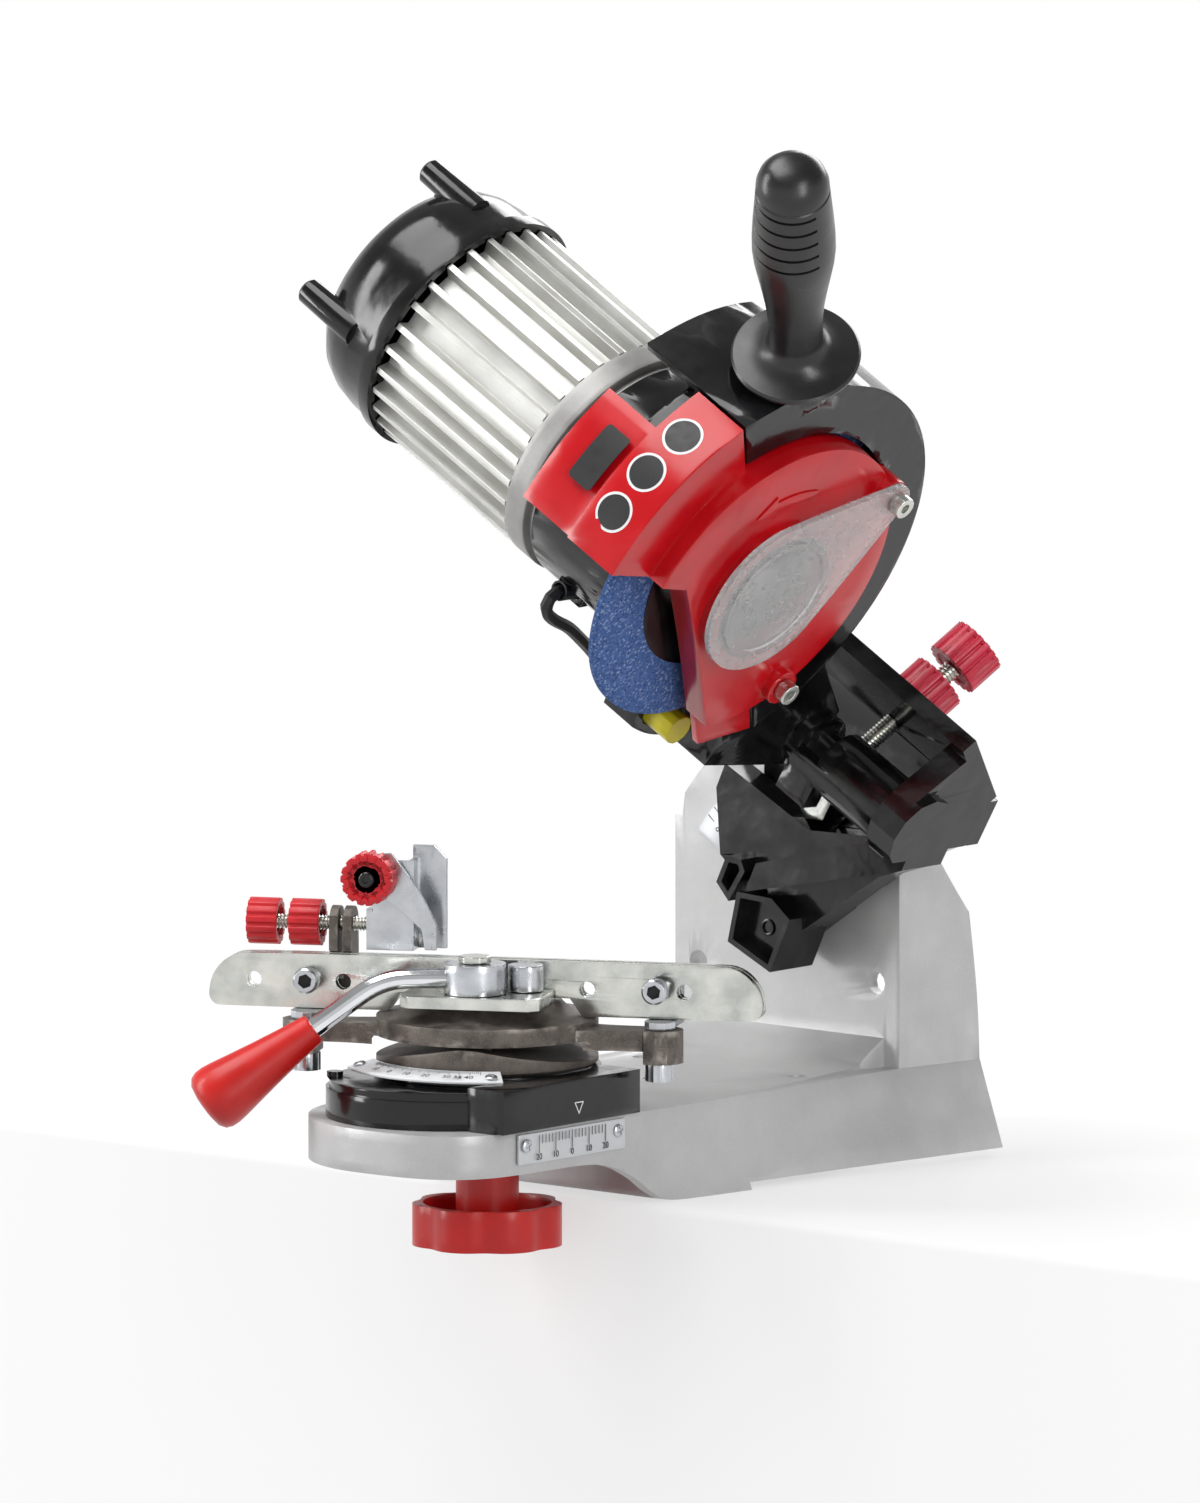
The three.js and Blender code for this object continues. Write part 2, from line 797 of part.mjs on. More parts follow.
function makeBase() {
  const spanHalf = base.rearFoot + overrun;
  const outer = loft(baseOutline("foot", 0), 0, baseOutline("top", 0), base.top);
  const body = common(outer, slabX(baseSide(0, 0), -spanHalf, spanHalf));
  const inner = loft(
    baseOutline("foot", base.wall),
    -overrun,
    baseOutline("top", base.wall),
    base.top - base.roof,
  );
  const frontWall = block(-spanHalf, spanHalf, base.frontRib - base.rib, base.frontRib, 0, base.top);
  const shell = cut(body, cut(inner, frontWall));
  const sideRelief = block(
    -spanHalf,
    spanHalf,
    base.reliefFront,
    base.footRear + overrun,
    -overrun,
    base.relief,
  );
  const pads = floorHoles().map(([x, y]) => rodZ(base.boltPad, 0, base.top - base.roof / 2, x, y));
  // Short rib that carries the middle of the foot face
  pads.push(
    block(
      -base.footRib.half,
      base.footRib.half,
      base.footRib.from,
      base.footRib.to,
      0,
      base.top - base.roof / 2,
    ),
  );
  const reach = tiltSlot.radius + tiltSlot.half + base.slotEdge;
  const side = [
    [base.columnHalf, chainLine + base.shoulder],
    ...base.columnShares.map(([x, z]) => [reach * x, chainLine + reach * z]),
  ];
  const plateShape = outline([
    [-base.columnHalf, base.top - base.roof],
    [base.columnHalf, base.top - base.roof],
    ...side,
    ...side.map(([x, z]) => [-x, z]).reverse(),
  ]);
  const back = columnFace + base.plate;
  const plate = slabY(plateShape, columnFace, back);
  const gusset = slabX(
    outline([
      [columnFace - base.gussetRun, base.top - base.roof / 2],
      [columnFace - base.gussetRun, base.top],
      [columnFace + base.plate / 2, base.top + base.gussetRise],
      [columnFace + base.plate / 2, base.top - base.roof / 2],
    ]),
    -base.gussetHalf,
    base.gussetHalf,
  );
  const run = base.footRear - columnFace;
  const rise = base.flangeTop - base.top;
  const flangeProfile = slabX(
    outline([
      [columnFace, base.top - base.roof / 2],
      ...base.flangeShares.map(([y, z]) => [columnFace + run * y, base.top + rise * z]),
      [base.footRear, base.top - base.roof / 2],
    ]),
    -spanHalf,
    spanHalf,
  );
  const flange = (side) => {
    const lower = [
      [side * base.columnHalf, columnFace],
      [side * base.rearTop, base.footRear],
      [side * (base.rearTop - base.flangeThick), base.footRear],
      [side * (base.columnHalf - base.flangeThick), columnFace],
    ];
    const upper = [
      [side * base.columnHalf, columnFace],
      [side * (base.columnHalf + base.flangeFlare), base.footRear],
      [side * (base.columnHalf + base.flangeFlare - base.flangeThick), base.footRear],
      [side * (base.columnHalf - base.flangeThick), columnFace],
    ];
    const ordered = side > 0 ? [lower, upper] : [lower.reverse(), upper.reverse()];
    const full = loft(ordered[0], base.top - base.roof, ordered[1], base.flangeTop);
    return common(full, flangeProfile);
  };
  // The channel between the flanges stays open at the back
  const channel = block(
    -base.columnHalf + base.flangeThick,
    base.columnHalf - base.flangeThick,
    back,
    base.footRear + overrun,
    -overrun,
    base.top + overrun,
  );
  const pivotHole = rodY(tiltPivot.radius + clearance, columnFace - overrun, back + overrun, 0, chainLine);
  const slot = slabY(
    ringShape(tiltSlot.radius - tiltSlot.half, tiltSlot.radius + tiltSlot.half, tiltSlot.from, tiltSlot.to),
    columnFace - overrun,
    back + overrun,
  ).translate([0, 0, chainLine]);
  const slotEnds = [tiltSlot.from, tiltSlot.to].map((turn) => {
    const a = THREE.MathUtils.degToRad(turn);
    const x = tiltSlot.radius * Math.cos(a);
    const z = chainLine + tiltSlot.radius * Math.sin(a);
    return rodY(tiltSlot.half, columnFace - overrun, back + overrun, x, z);
  });
  const wallHoles = [-1, 1].map((side) => {
    const x = side * base.wallHoleAcross;
    return rodY(base.wallHole, columnFace - overrun, back + overrun, x, base.wallHoleUp);
  });
  const floorDrills = floorHoles().map(([x, y]) => rodZ(base.boltHole, -overrun, base.top + overrun, x, y));
  const studSlot = slabZ(
    slotShape(0, -base.slotRun, 0, base.slotRun, base.slotHalf),
    base.top - base.roof - overrun,
    base.top + overrun,
  );
  const skin = join(cut(shell, sideRelief, channel), plate, gusset, flange(1), flange(-1), ...pads);
  return cut(skin, pivotHole, slot, ...slotEnds, ...wallHoles, ...floorDrills, studSlot);
}

// Scale strip on the right side of the pad, following the base's skin
function makeSlideScale() {
  const skin = (grow) => loft(baseOutline("foot", -grow), 0, baseOutline("top", -grow), base.top);
  const room = block(
    0,
    base.footRear,
    -slideScale.from,
    slideScale.to,
    slideScale.bottom,
    slideScale.top,
  );
  return cut(common(room, skin(clearance + slideScale.thick)), skin(clearance));
}
function makeTiltScale() {
  const inner = base.columnHalf + tiltScale.past;
  const ring = ringShape(inner, inner + tiltScale.width, tiltScale.from, tiltScale.to);
  const rear = columnFace - clearance;
  const plate = slabY(ring, rear - tiltScale.thick, rear).translate([0, 0, chainLine]);
  const x = -base.columnHalf;
  const room = block(x + clearance, 0, 0, columnFace, base.top, base.footRear);
  return common(plate, room);
}

// Slide plate: a dish with a round front and a square block on its right
function makeSlidePlate() {
  const low = base.top + clearance;
  const plan = (inset) => {
    const shape = new THREE.Shape();
    const r = slide.frontRadius - inset;
    shape.moveTo(slide.right - inset, slide.rear - inset);
    shape.lineTo(-slide.left + inset, slide.rear - inset);
    shape.lineTo(-r, -slide.frontCentre);
    shape.absarc(0, -slide.frontCentre, r, Math.PI, fullTurn, false);
    shape.lineTo(slide.right - inset, -slide.frontCentre);
    return shape;
  };
  const dish = slabZ(plan(0), low, slide.plateTop - slide.bevel);
  const dishTop = slabZ(plan(slide.bevel / 2), slide.plateTop - slide.bevel, slide.plateTop);
  const side = block(
    slide.blockInner,
    slide.right,
    -slide.blockFront,
    slide.rear,
    low,
    slide.top,
  );
  const seatRing = rodZ(slide.pocket, slide.plateTop - slide.bevel, slide.top, 0, 0, round);
  const hollow = slabZ(plan(slide.wall), low - overrun, slide.plateTop - slide.floorRise);
  const sideHollow = block(
    slide.blockInner + slide.wall,
    slide.right - slide.wall,
    -slide.blockFront + slide.wall,
    slide.rear - slide.wall,
    low - overrun,
    slide.top - slide.wall,
  );
  const boss = rodZ(slide.bossRadius, low, slide.plateTop);
  const hook = rodZ(
    slide.hook.radius,
    slide.plateTop - slide.floorRise,
    slide.plateTop + slide.hook.rise,
    -slide.hook.left,
    -slide.hook.front,
  );
  const pocket = rodZ(slide.pocket - slide.wall, slide.plateTop, slide.top + overrun, 0, 0, round);
  const shell = cut(join(dish, dishTop, side, seatRing), hollow, sideHollow);
  const bore = rodZ(seat.bore, low - overrun, slide.top + overrun);
  return cut(join(shell, boss, hook), pocket, bore);
}
function makeArcScale() {
  const ring = ringShape(arcScale.inner, arcScale.outer, arcScale.from, arcScale.to);
  const low = slide.plateTop + clearance;
  return slabZ(ring, low, low + arcScale.thick);
}
function makeClampStud() {
  const stud = rodZ(clampStud.radius, -clampKnob.floor + clearance, clampStud.top);
  return join(stud, rodZ(clampStud.collar, seat.bottom + clampStud.seatRise, clampStud.top));
}
function makeClampKnob() {
  const low = -clampKnob.bottom;
  const rim = lobedKnob(clampKnob.radius, clampKnob.lobeDepth, clampKnob.lobes, low, -clampKnob.rim);
  const k = clampKnob;
  const cup = rodZ(k.radius - k.wall, -k.floor, -k.rim + overrun, 0, 0, round);
  const stem = rodZ(k.stem, -k.floor - overrun, base.top - base.roof - clearance, 0, 0, round);
  const bore = rodZ(clampKnob.bore, -clampKnob.floor, base.top + overrun);
  return cut(join(cut(rim, cup), stem), bore);
}

// Rotary seat: drum with a roof-shaped top, so that the vise can rock each way
function makeSeat() {
  const drum = turnedZ([
    [0, seat.bottom],
    [seat.radius - seat.chamfer, seat.bottom],
    [seat.radius, seat.bottom + seat.chamfer],
    [seat.radius, seat.split],
    [0, seat.split],
  ]);
  const drop = (seat.radius + overrun) * Math.tan(seat.roofSlope);
  const roof = slabY(
    outline([
      [0, seat.split],
      [seat.radius + overrun, seat.split - drop],
      [seat.radius + overrun, seat.split + overrun],
      [-seat.radius - overrun, seat.split + overrun],
      [-seat.radius - overrun, seat.split - drop],
    ]),
    -seat.radius - overrun,
    seat.radius + overrun,
  );
  const half = seat.barrelHalf + clearance;
  const groove = rodY(seat.barrel + clearance, -half, half, 0, seat.split);
  const bore = rodZ(clampStud.radius + clearance, seat.bottom - overrun, seat.split);
  const collarWell = rodZ(
    clampStud.collar + clearance,
    seat.bottom + clampStud.seatRise - clearance,
    seat.split + overrun,
  );
  return cut(drum, roof, groove, bore, collarWell);
}

// Vise casting: round body with two arms that end in eyes for the rail posts
function makeViseCasting() {
  const body = turnedZ([
    [0, vise.split],
    [vise.radius, vise.split],
    [vise.radius, vise.shoulder],
    [vise.radius - vise.shoulderRun, vise.shoulder + vise.shoulderRise],
    [vise.neck + vise.step, vise.shoulder + vise.step],
    [vise.neck, vise.neckTop],
    [0, vise.neckTop],
  ]);
  const barrel = rodY(seat.barrel, -seat.barrelHalf + clearance, seat.barrelHalf - clearance, 0, seat.split);
  const arms = [-1, 1].map((side) => {
    const shape = new THREE.Shape();
    const half = vise.armWidth / 2;
    const tip = side * postSpan;
    const root = side * vise.armRoot;
    const mid = side * (postSpan - vise.eyeRadius * 2);
    shape.moveTo(root, -vise.armOffset - vise.armRootHalf);
    shape.lineTo(mid, -vise.armOffset - half);
    shape.lineTo(tip, -vise.armOffset - half);
    shape.lineTo(tip, -vise.armOffset + half);
    shape.lineTo(mid, -vise.armOffset + half);
    shape.lineTo(root, -vise.armOffset + vise.armRootHalf);
    const web = slabZ(shape, vise.armBottom, vise.armTop);
    const knee = side * (postSpan - vise.kneeInset);
    const under = block(
      Math.min(0, knee),
      Math.max(0, knee),
      -vise.radius,
      vise.radius,
      vise.armBottom - overrun,
      vise.armInnerBottom,
    );
    const eye = rodZ(vise.eyeRadius, vise.armBottom, vise.armTop, tip, -vise.armOffset);
    return cut(join(web, eye), under);
  });
  // The arms reach in over the drum, so they are relieved there for the rocking motion
  const relief = rodZ(vise.radius + vise.armGap, vise.armBottom - overrun, vise.split, 0, 0, round);
  const bores = [-1, 1].map((side) =>
    rodZ(
      post.radius + clearance,
      vise.armBottom - overrun,
      vise.armTop + overrun,
      side * postSpan,
      -vise.armOffset,
    ),
  );
  const wellFloor = vise.split - seat.barrel - overrun;
  const studWell = rodZ(clampStud.collar + vise.wellGap, wellFloor, vise.split + vise.well);
  const boltBore = rodZ(cam.bolt + clearance, vise.split + vise.well, vise.neckTop + overrun, 0, -cam.front);
  const arm = cut(join(...arms), relief);
  return cut(join(body, barrel, arm), studWell, boltBore, ...bores);
}
function makeClampPlate() {
  const x = clampPlate.width / 2;
  const c = clampPlate.corner;
  const y0 = -clampPlate.front - c;
  const y1 = y0 + clampPlate.depth;
  const shape = outline([
    [-x + c, y0],
    [x - c, y0],
    [x, y0 + c],
    [x, y1],
    [-x, y1],
    [-x, y0 + c],
  ]);
  const low = vise.neckTop + clearance;
  const high = low + clampPlate.thick;
  const bore = rodZ(cam.bolt + clearance, low - overrun, high + overrun, 0, -cam.front);
  return cut(slabZ(shape, low, high), bore);
}
const plateTop = vise.neckTop + clearance + clampPlate.thick;
const leverUp = cam.top - lever.drop; // height of the rod where it leaves the cam

// Rail outline in X and Z: rounded ends and a shallow notch over the clamp plate
function railShape(notched) {
  const half = rail.length / 2;
  const low = chainLine - rail.height;
  const shape = new THREE.Shape();
  const corner = rail.cornerTop;
  shape.moveTo(-half + corner, chainLine);
  shape.absarc(-half + corner, chainLine - corner, corner, quarterTurn, Math.PI, false);
  shape.lineTo(-half, low + rail.cornerBottom / 2);
  shape.absarc(
    -half + rail.cornerBottom / 2,
    low + rail.cornerBottom / 2,
    rail.cornerBottom / 2,
    Math.PI,
    Math.PI + quarterTurn,
    false,
  );
  if (notched) {
    shape.lineTo(-rail.notchHalf - rail.notchSlope, low);
    shape.lineTo(-rail.notchHalf, low + rail.notchDeep);
    shape.lineTo(rail.notchHalf, low + rail.notchDeep);
    shape.lineTo(rail.notchHalf + rail.notchSlope, low);
  }
  shape.lineTo(half - rail.cornerBottom / 2, low);
  shape.absarc(
    half - rail.cornerBottom / 2,
    low + rail.cornerBottom / 2,
    rail.cornerBottom / 2,
    -quarterTurn,
    0,
    false,
  );
  shape.lineTo(half, chainLine - corner);
  shape.absarc(half - corner, chainLine - corner, corner, 0, quarterTurn, false);
  return shape;
}
function makeRail(front) {
  const y0 = front ? -rail.gap / 2 - rail.thick : rail.gap / 2;
  const y1 = y0 + rail.thick;
  const up = chainLine - rail.height / 2;
  const drills = rail.holeShares.map((share) =>
    rodY(rail.holeRadius, y0 - overrun, y1 + overrun, (share * rail.length) / 2, up),
  );
  const screwHoles = [-1, 1].map((side) => {
    const radius = front ? railScrew.hole : railScrew.shank + clearance;
    return rodY(radius, y0 - overrun, y1 + overrun, side * screwSpan, chainLine - rail.screwDrop);
  });
  return cut(slabY(railShape(true), y0, y1), ...drills, ...screwHoles);
}
function makeRailScrew(side) {
  const x = side * screwSpan;
  const z = chainLine - rail.screwDrop;
  const face = -rail.gap / 2 - rail.thick - railScrew.stand;
  const head = rodY(railScrew.head, face - railScrew.headDepth, face, x, z);
  const socket = rodY(
    railScrew.socket,
    face - railScrew.headDepth - overrun,
    face - railScrew.headDepth + railScrew.socketDeep,
    x,
    z,
    socketFacets,
  );
  const shank = rodY(railScrew.shank, face - overrun, postLugFront() + post.lugThick, x, z);
  return cut(join(head, shank), socket);
}
const postLugFront = () => rail.gap / 2 + rail.thick + clearance;
function makePost(side) {
  const x = side * postSpan;
  const y = -vise.armOffset;
  const low = vise.armBottom - thumbNut.thick + thumbNut.web;
  const shank = rodZ(post.radius, low, vise.armTop + clearance, x, y);
  const collarTop = chainLine - rail.height - clearance;
  const collar = rodZ(post.collar, vise.armTop + clearance, collarTop, x, y);
  const foot = block(
    x - post.lugHalf,
    x + post.lugHalf,
    y,
    postLugFront() + post.lugThick,
    vise.armTop + post.footRise,
    collarTop,
  );
  const lug = block(
    x - post.lugHalf,
    x + post.lugHalf,
    postLugFront(),
    postLugFront() + post.lugThick,
    vise.armTop + post.footRise,
    chainLine - post.lugDrop,
  );
  const screwX = side * screwSpan;
  const bore = rodY(
    railScrew.shank + clearance,
    postLugFront() - overrun,
    postLugFront() + post.lugThick + overrun,
    screwX,
    chainLine - rail.screwDrop,
  );
  return cut(join(shank, collar, foot, lug), bore);
}
function makeThumbNut(side) {
  const x = side * postSpan;
  const top = vise.armBottom - clearance;
  const nut = steelNut(thumbNut.radius, top - thumbNut.thick, top, thumbNut.knurls, thumbNut.knurlDeep);
  const bore = rodZ(post.radius + clearance, top - thumbNut.thick + thumbNut.web, top + overrun);
  return cut(nut, bore).translate([x, -vise.armOffset, 0]);
}

// Cam lever: cam on the clamp plate, bent rod, tapered grip
function makeCamBolt() {
  const shank = rodZ(cam.bolt, vise.split + vise.well + clearance, cam.top + clearance * 2, 0, -cam.front);
  const head = rodZ(cam.boltHead, cam.top + clearance, cam.top + clearance + cam.boltHeadRise, 0, -cam.front);
  return join(shank, head);
}
function makeCamHub() {
  const low = plateTop + clearance - leverUp;
  const high = cam.top - leverUp;
  const hub = rodZ(cam.radius, low, high, 0, 0, round);
  const bore = rodZ(cam.bolt + clearance, low - overrun, high + overrun);
  const socket = rodX(lever.rod + clearance, cam.radius - lever.bite - clearance, cam.radius + overrun);
  return cut(hub, bore, socket);
}
function makeShoe() {
  const y = -rail.gap / 2 - rail.thick - clearance - cam.shoeRadius;
  return rodZ(cam.shoeRadius, plateTop + clearance, cam.top - cam.shoeDrop, cam.shoeAcross, y, round);
}
function leverPath() {
  const start = cam.radius - lever.bite;
  const knee = new THREE.Vector3(lever.reach, 0, 0);
  const end = new THREE.Vector3(lever.reach + lever.bendOut, 0, -lever.bendDrop);
  const bend = lever.bend;
  const along = end.clone().sub(knee).normalize();
  const path = new THREE.CurvePath();
  const kneeIn = new THREE.Vector3(lever.reach - bend, 0, 0);
  const kneeOut = knee.clone().addScaledVector(along, bend);
  path.add(new THREE.LineCurve3(new THREE.Vector3(start, 0, 0), kneeIn));
  path.add(new THREE.QuadraticBezierCurve3(kneeIn, knee, kneeOut));
  path.add(new THREE.LineCurve3(kneeOut, end));
  return { path, end, along };
}
function sweep(path, radius, steps, facets) {
  const ring = outline(arcPoints(0, 0, radius, 0, fullTurn, facets).slice(1));
  return toSolid(new THREE.ExtrudeGeometry(ring, { steps, extrudePath: path, bevelEnabled: false }));
}
function makeLever() {
  const { path, end, along } = leverPath();
  const rod = sweep(path, lever.rod, lever.steps, roundSmall);
  const grip = turnedZ([
    [0, lever.gripStart],
    ...lever.gripShares.map(([r, h]) => [lever.gripEnd * r, lever.gripStart + lever.gripLength * h]),
  ]);
  const bore = rodZ(lever.rod + clearance, -overrun, lever.gripStart + lever.ferrule);
  const lean = Math.atan2(along.x, along.z);
  const placed = cut(grip, bore).rotate([0, THREE.MathUtils.radToDeg(lean), 0]);
  const back = end.clone().addScaledVector(along, -lever.ferrule - lever.gripStart + clearance);
  return { rod, grip: placed.translate([back.x, back.y, back.z]) };
}

// Chain stop behind the rails: forked bracket, threaded screw with two knobs, carrier, pawl
const stopUp = () => chainLine + stop.axisUp;
const stopFrom = post.lugHalf + stop.postGap;
function knobAlongX(radius, x0, x1, boreRadius) {
  const made = steelNut(radius, x0, x1, stop.ribs, stop.ribDeep);
  const bored = boreRadius ? cut(made, rodZ(boreRadius, x0 - overrun, x1 + overrun)) : made;
  return bored.rotate([0, degrees.quarter, 0]);
}
function makeStopBracket() {
  const ears = [stopFrom, stop.bracketTo - stop.ear].map((x) => {
    const shape = new THREE.Shape();
    const low = chainLine - stop.footDrop;
    const r = stop.earRadius;
    shape.moveTo(stop.axisBack - r, low);
    shape.lineTo(stop.axisBack + r, low);
    shape.absarc(stop.axisBack, stopUp(), r, 0, Math.PI, false);
    return slabX(shape, x, x + stop.ear);
  });
  const foot = block(
    stopFrom,
    stop.bracketTo,
    postLugFront(),
    stop.axisBack + stop.earRadius,
    chainLine - stop.footDrop,
    chainLine - stop.footDrop + stop.footHigh,
  );
  // The ears stay behind the fixed rail up to its top edge
  const railRoom = block(
    stopFrom - overrun,
    stop.bracketTo + overrun,
    -overrun,
    postLugFront(),
    chainLine - rail.height,
    chainLine + clearance,
  );
  const bore = rodX(
    stop.screw + clearance,
    stopFrom - overrun,
    stop.bracketTo + overrun,
    stop.axisBack,
    stopUp(),
  );
  return cut(join(...ears, foot), railRoom, bore);
}
function makeStopScrew() {
  const half = stop.knobThick / 2;
  const shank = rodX(stop.screw, stop.adjustAt, stop.screwTo, stop.axisBack, stopUp());
  const knob = knobAlongX(stop.knobRadius, stop.adjustAt - half, stop.adjustAt + half);
  return join(shank, knob.translate([0, stop.axisBack, stopUp()]));
}
function makeStopLock() {
  const half = stop.knobThick / 2;
  const to = stopFrom - clearance;
  const knob = knobAlongX(stop.knobRadius, stop.lockAt - half, stop.lockAt + half);
  const washer = rodX(stop.washerRadius, stop.lockAt, to);
  const bore = rodX(stop.screw + clearance, stop.lockAt - half - overrun, to + overrun);
  return cut(join(knob, washer), bore).translate([0, stop.axisBack, stopUp()]);
}
function makeStopCarrier() {
  const low = chainLine + stop.base;
  const y0 = stop.frontBack;
  const y1 = stop.rearBack + stop.plate;
  const t = stop.plate;
  const face = slabY(
    outline([
      [stop.left.in, low],
      [stop.left.out, low],
      [stop.left.out, chainLine + stop.shoulder],
      [stop.left.in + stop.slope, chainLine + stop.shoulder],
    ]),
    y0,
    y0 + t,
  );
  const web = block(stop.left.out - t, stop.left.out, y0, y1, low, chainLine + stop.shoulder);
  const end = block(stop.left.in, stop.left.in + t, y0, y1, low, stopUp() + stop.earRadius);
  const rear = slabY(
    outline([
      [stop.left.out - t, low],
      [stop.rearOut, low],
      [stop.rearOut, chainLine + stop.rearTop - stop.hook],
      [stop.rearOut - stop.hook, chainLine + stop.rearTop],
      [stop.left.out - t, chainLine + stop.rearTop],
    ]),
    y1 - t,
    y1,
  );
  const bore = rodX(
    stop.screw + clearance,
    stop.left.in - overrun,
    stop.left.in + t + overrun,
    stop.axisBack,
    stopUp(),
  );
  const pin = rodY(
    stop.pinRadius + clearance,
    y0 - overrun,
    y0 + t + overrun,
    stop.pivotAlong,
    chainLine + stop.pivotUp,
  );
  return cut(join(face, web, end, rear), bore, pin);
}
function makePawl() {
  const y1 = stop.frontBack - clearance;
  const y0 = y1 - stop.pawlThick;
  const x = stop.pivotAlong;
  const z = chainLine + stop.pivotUp;
  const w = stop.pawlHalf;
  const strip = slabY(
    outline([
      [x - w, z - w / 2],
      [x - w, z + w],
      [x + w, z + w],
      [stop.pawlKnee.along + w, chainLine + stop.pawlKnee.up + w / 2],
      [stop.pawlTip.along, chainLine + stop.pawlTip.up + w],
      [stop.pawlTip.along, chainLine + stop.pawlTip.up],
      [stop.pawlTip.along - w, chainLine + stop.pawlTip.up],
      [stop.pawlKnee.along - w, chainLine + stop.pawlKnee.up],
      [x, z - w],
    ]),
    y0,
    y1,
  );
  const bore = rodY(stop.pinRadius + clearance, y0 - overrun, y1 + overrun, x, z);
  return cut(strip, bore);
}
function makePawlKnob() {
  const z = chainLine + stop.pivotUp;
  const rear = stop.frontBack - 2 * clearance - stop.pawlThick;
  const front = rear - stop.pawlKnobThick;
  const knob = steelNut(stop.pawlKnobRadius, 0, stop.pawlKnobThick, stop.ribs, stop.ribDeep);
  const placed = knob.rotate([degrees.quarter, 0, 0]).translate([stop.pivotAlong, rear, z]);
  const pin = rodY(
    stop.pinRadius,
    front - clearance,
    stop.frontBack + stop.plate + stop.pinProud,
    stop.pivotAlong,
    z,
  );
  return join(placed, pin);
}

// Tilting bracket in the tilted frame: X along the wheel axis, Z up the machine
const pivot = { y: swingPivot.back, z: swingPivot.up };
const lugPoints = (shares) =>
  outline(shares.map(([y, z]) => [columnFace - bracket.lugRoot - bracket.lugRun * y, bracket.lugDrop * z]));
function makeBracket() {
  const rear = columnFace - clearance;
  const front = rear - bracket.wall;
  const top = pivot.z + bracket.wallPast;
  const wallShape = outline(
    bracket.wallShares.map(([x, z]) => [x * (x < 0 ? bracket.left : bracket.right), z * top]),
  );
  const wall = slabY(wallShape, front, rear);
  const run = columnFace - bracket.wall + bracket.cheekLap - pivot.y;
  const cheekShape = outline(
    bracket.cheekShares.map(([y, z]) => [pivot.y + run * y, pivot.z + bracket.cheekHigh * z]),
  );
  const leftCheek = slabX(cheekShape, -bracket.left, -bracket.left + bracket.cheek);
  const rightCheek = slabX(cheekShape, bracket.right - bracket.rightCheek, bracket.right);
  const keep = block(
    -bracket.left - overrun,
    bracket.right + overrun,
    0,
    rear,
    pivot.z - bracket.reach,
    pivot.z + bracket.reach,
  );
  const roofSlab = block(
    -bracket.left,
    bracket.right,
    -bracket.roofHalf,
    bracket.roofHalf,
    depth.roofFrom,
    depth.roofFrom + depth.roofThick,
  );
  const slopeTurn = -THREE.MathUtils.radToDeg(depth.slope);
  const roof = roofSlab.rotate([slopeTurn, 0, 0]).translate([0, pivot.y, pivot.z]);
  const bosses = [
    rodX(
      bracket.bossRadius,
      -bracket.left - bracket.bossProud,
      -bracket.left + bracket.cheek,
      pivot.y,
      pivot.z,
    ),
    rodX(
      bracket.bossRadius,
      bracket.right - bracket.rightCheek,
      bracket.right + bracket.bossProud,
      pivot.y,
      pivot.z,
    ),
  ];
  const axle = rodY(bracket.boltPad, front - bracket.padProud, rear, 0, 0);
  const clampPad = rodY(bracket.boltPad, front - bracket.padProud, rear, 0, tiltSlot.radius);
  const lug = slabX(lugPoints(bracket.lugShares), -bracket.lugLeft, bracket.lugRight);
  const lugHollow = slabX(
    lugPoints(bracket.lugHollowShares),
    -bracket.lugLeft + bracket.lugWall,
    bracket.lugRight + overrun,
  );
  const frame = join(wall, leftCheek, rightCheek, common(roof, keep), ...bosses);
  const solid = join(frame, axle, clampPad, cut(lug, lugHollow));
  const pinBore = rodX(
    swingPin.radius + clearance,
    -bracket.left - bracket.bossProud - overrun,
    bracket.right - bracket.pinStop,
    pivot.y,
    pivot.z,
  );
  const from = front - bracket.padProud - overrun;
  const axleBore = rodY(tiltPivot.radius + clearance, from, rear + overrun, 0, 0);
  const clampBore = rodY(tiltBolt.shank + clearance, from, rear + overrun, 0, tiltSlot.radius);
  return cut(solid, pinBore, axleBore, clampBore, placeDepth(rodZ(depth.screw + clearance, 0, depth.knobAt)));
}
// The depth screw's own axis is Z; this turns it to its slope and puts its tip in place
function placeDepth(made) {
  const lean = -THREE.MathUtils.radToDeg(depth.slope);
  return made
    .rotate([lean, 0, 0])
    .translate([depth.across, pivot.y + depth.tip.back, pivot.z + depth.tip.up]);
}
function makeDepthScrew() {
  const shank = rodZ(depth.screw, 0, depth.knobAt);
  const knob = steelNut(
    depth.knobRadius,
    depth.knobAt,
    depth.knobAt + depth.knobThick,
    stop.ribs,
    stop.ribDeep,
  );
  return placeDepth(join(shank, knob));
}
function makeDepthLock() {
  const low = depth.lockAt;
  const washerLow = depth.roofFrom + depth.roofThick + clearance - depthAlong();
  const knob = steelNut(depth.knobRadius, low, low + depth.lockThick, stop.ribs, stop.ribDeep);
  const washer = rodZ(depth.washer, washerLow, low + overrun);
  const bore = rodZ(depth.screw + clearance, washerLow - overrun, low + depth.lockThick + overrun);
  return placeDepth(cut(join(knob, washer), bore));
}
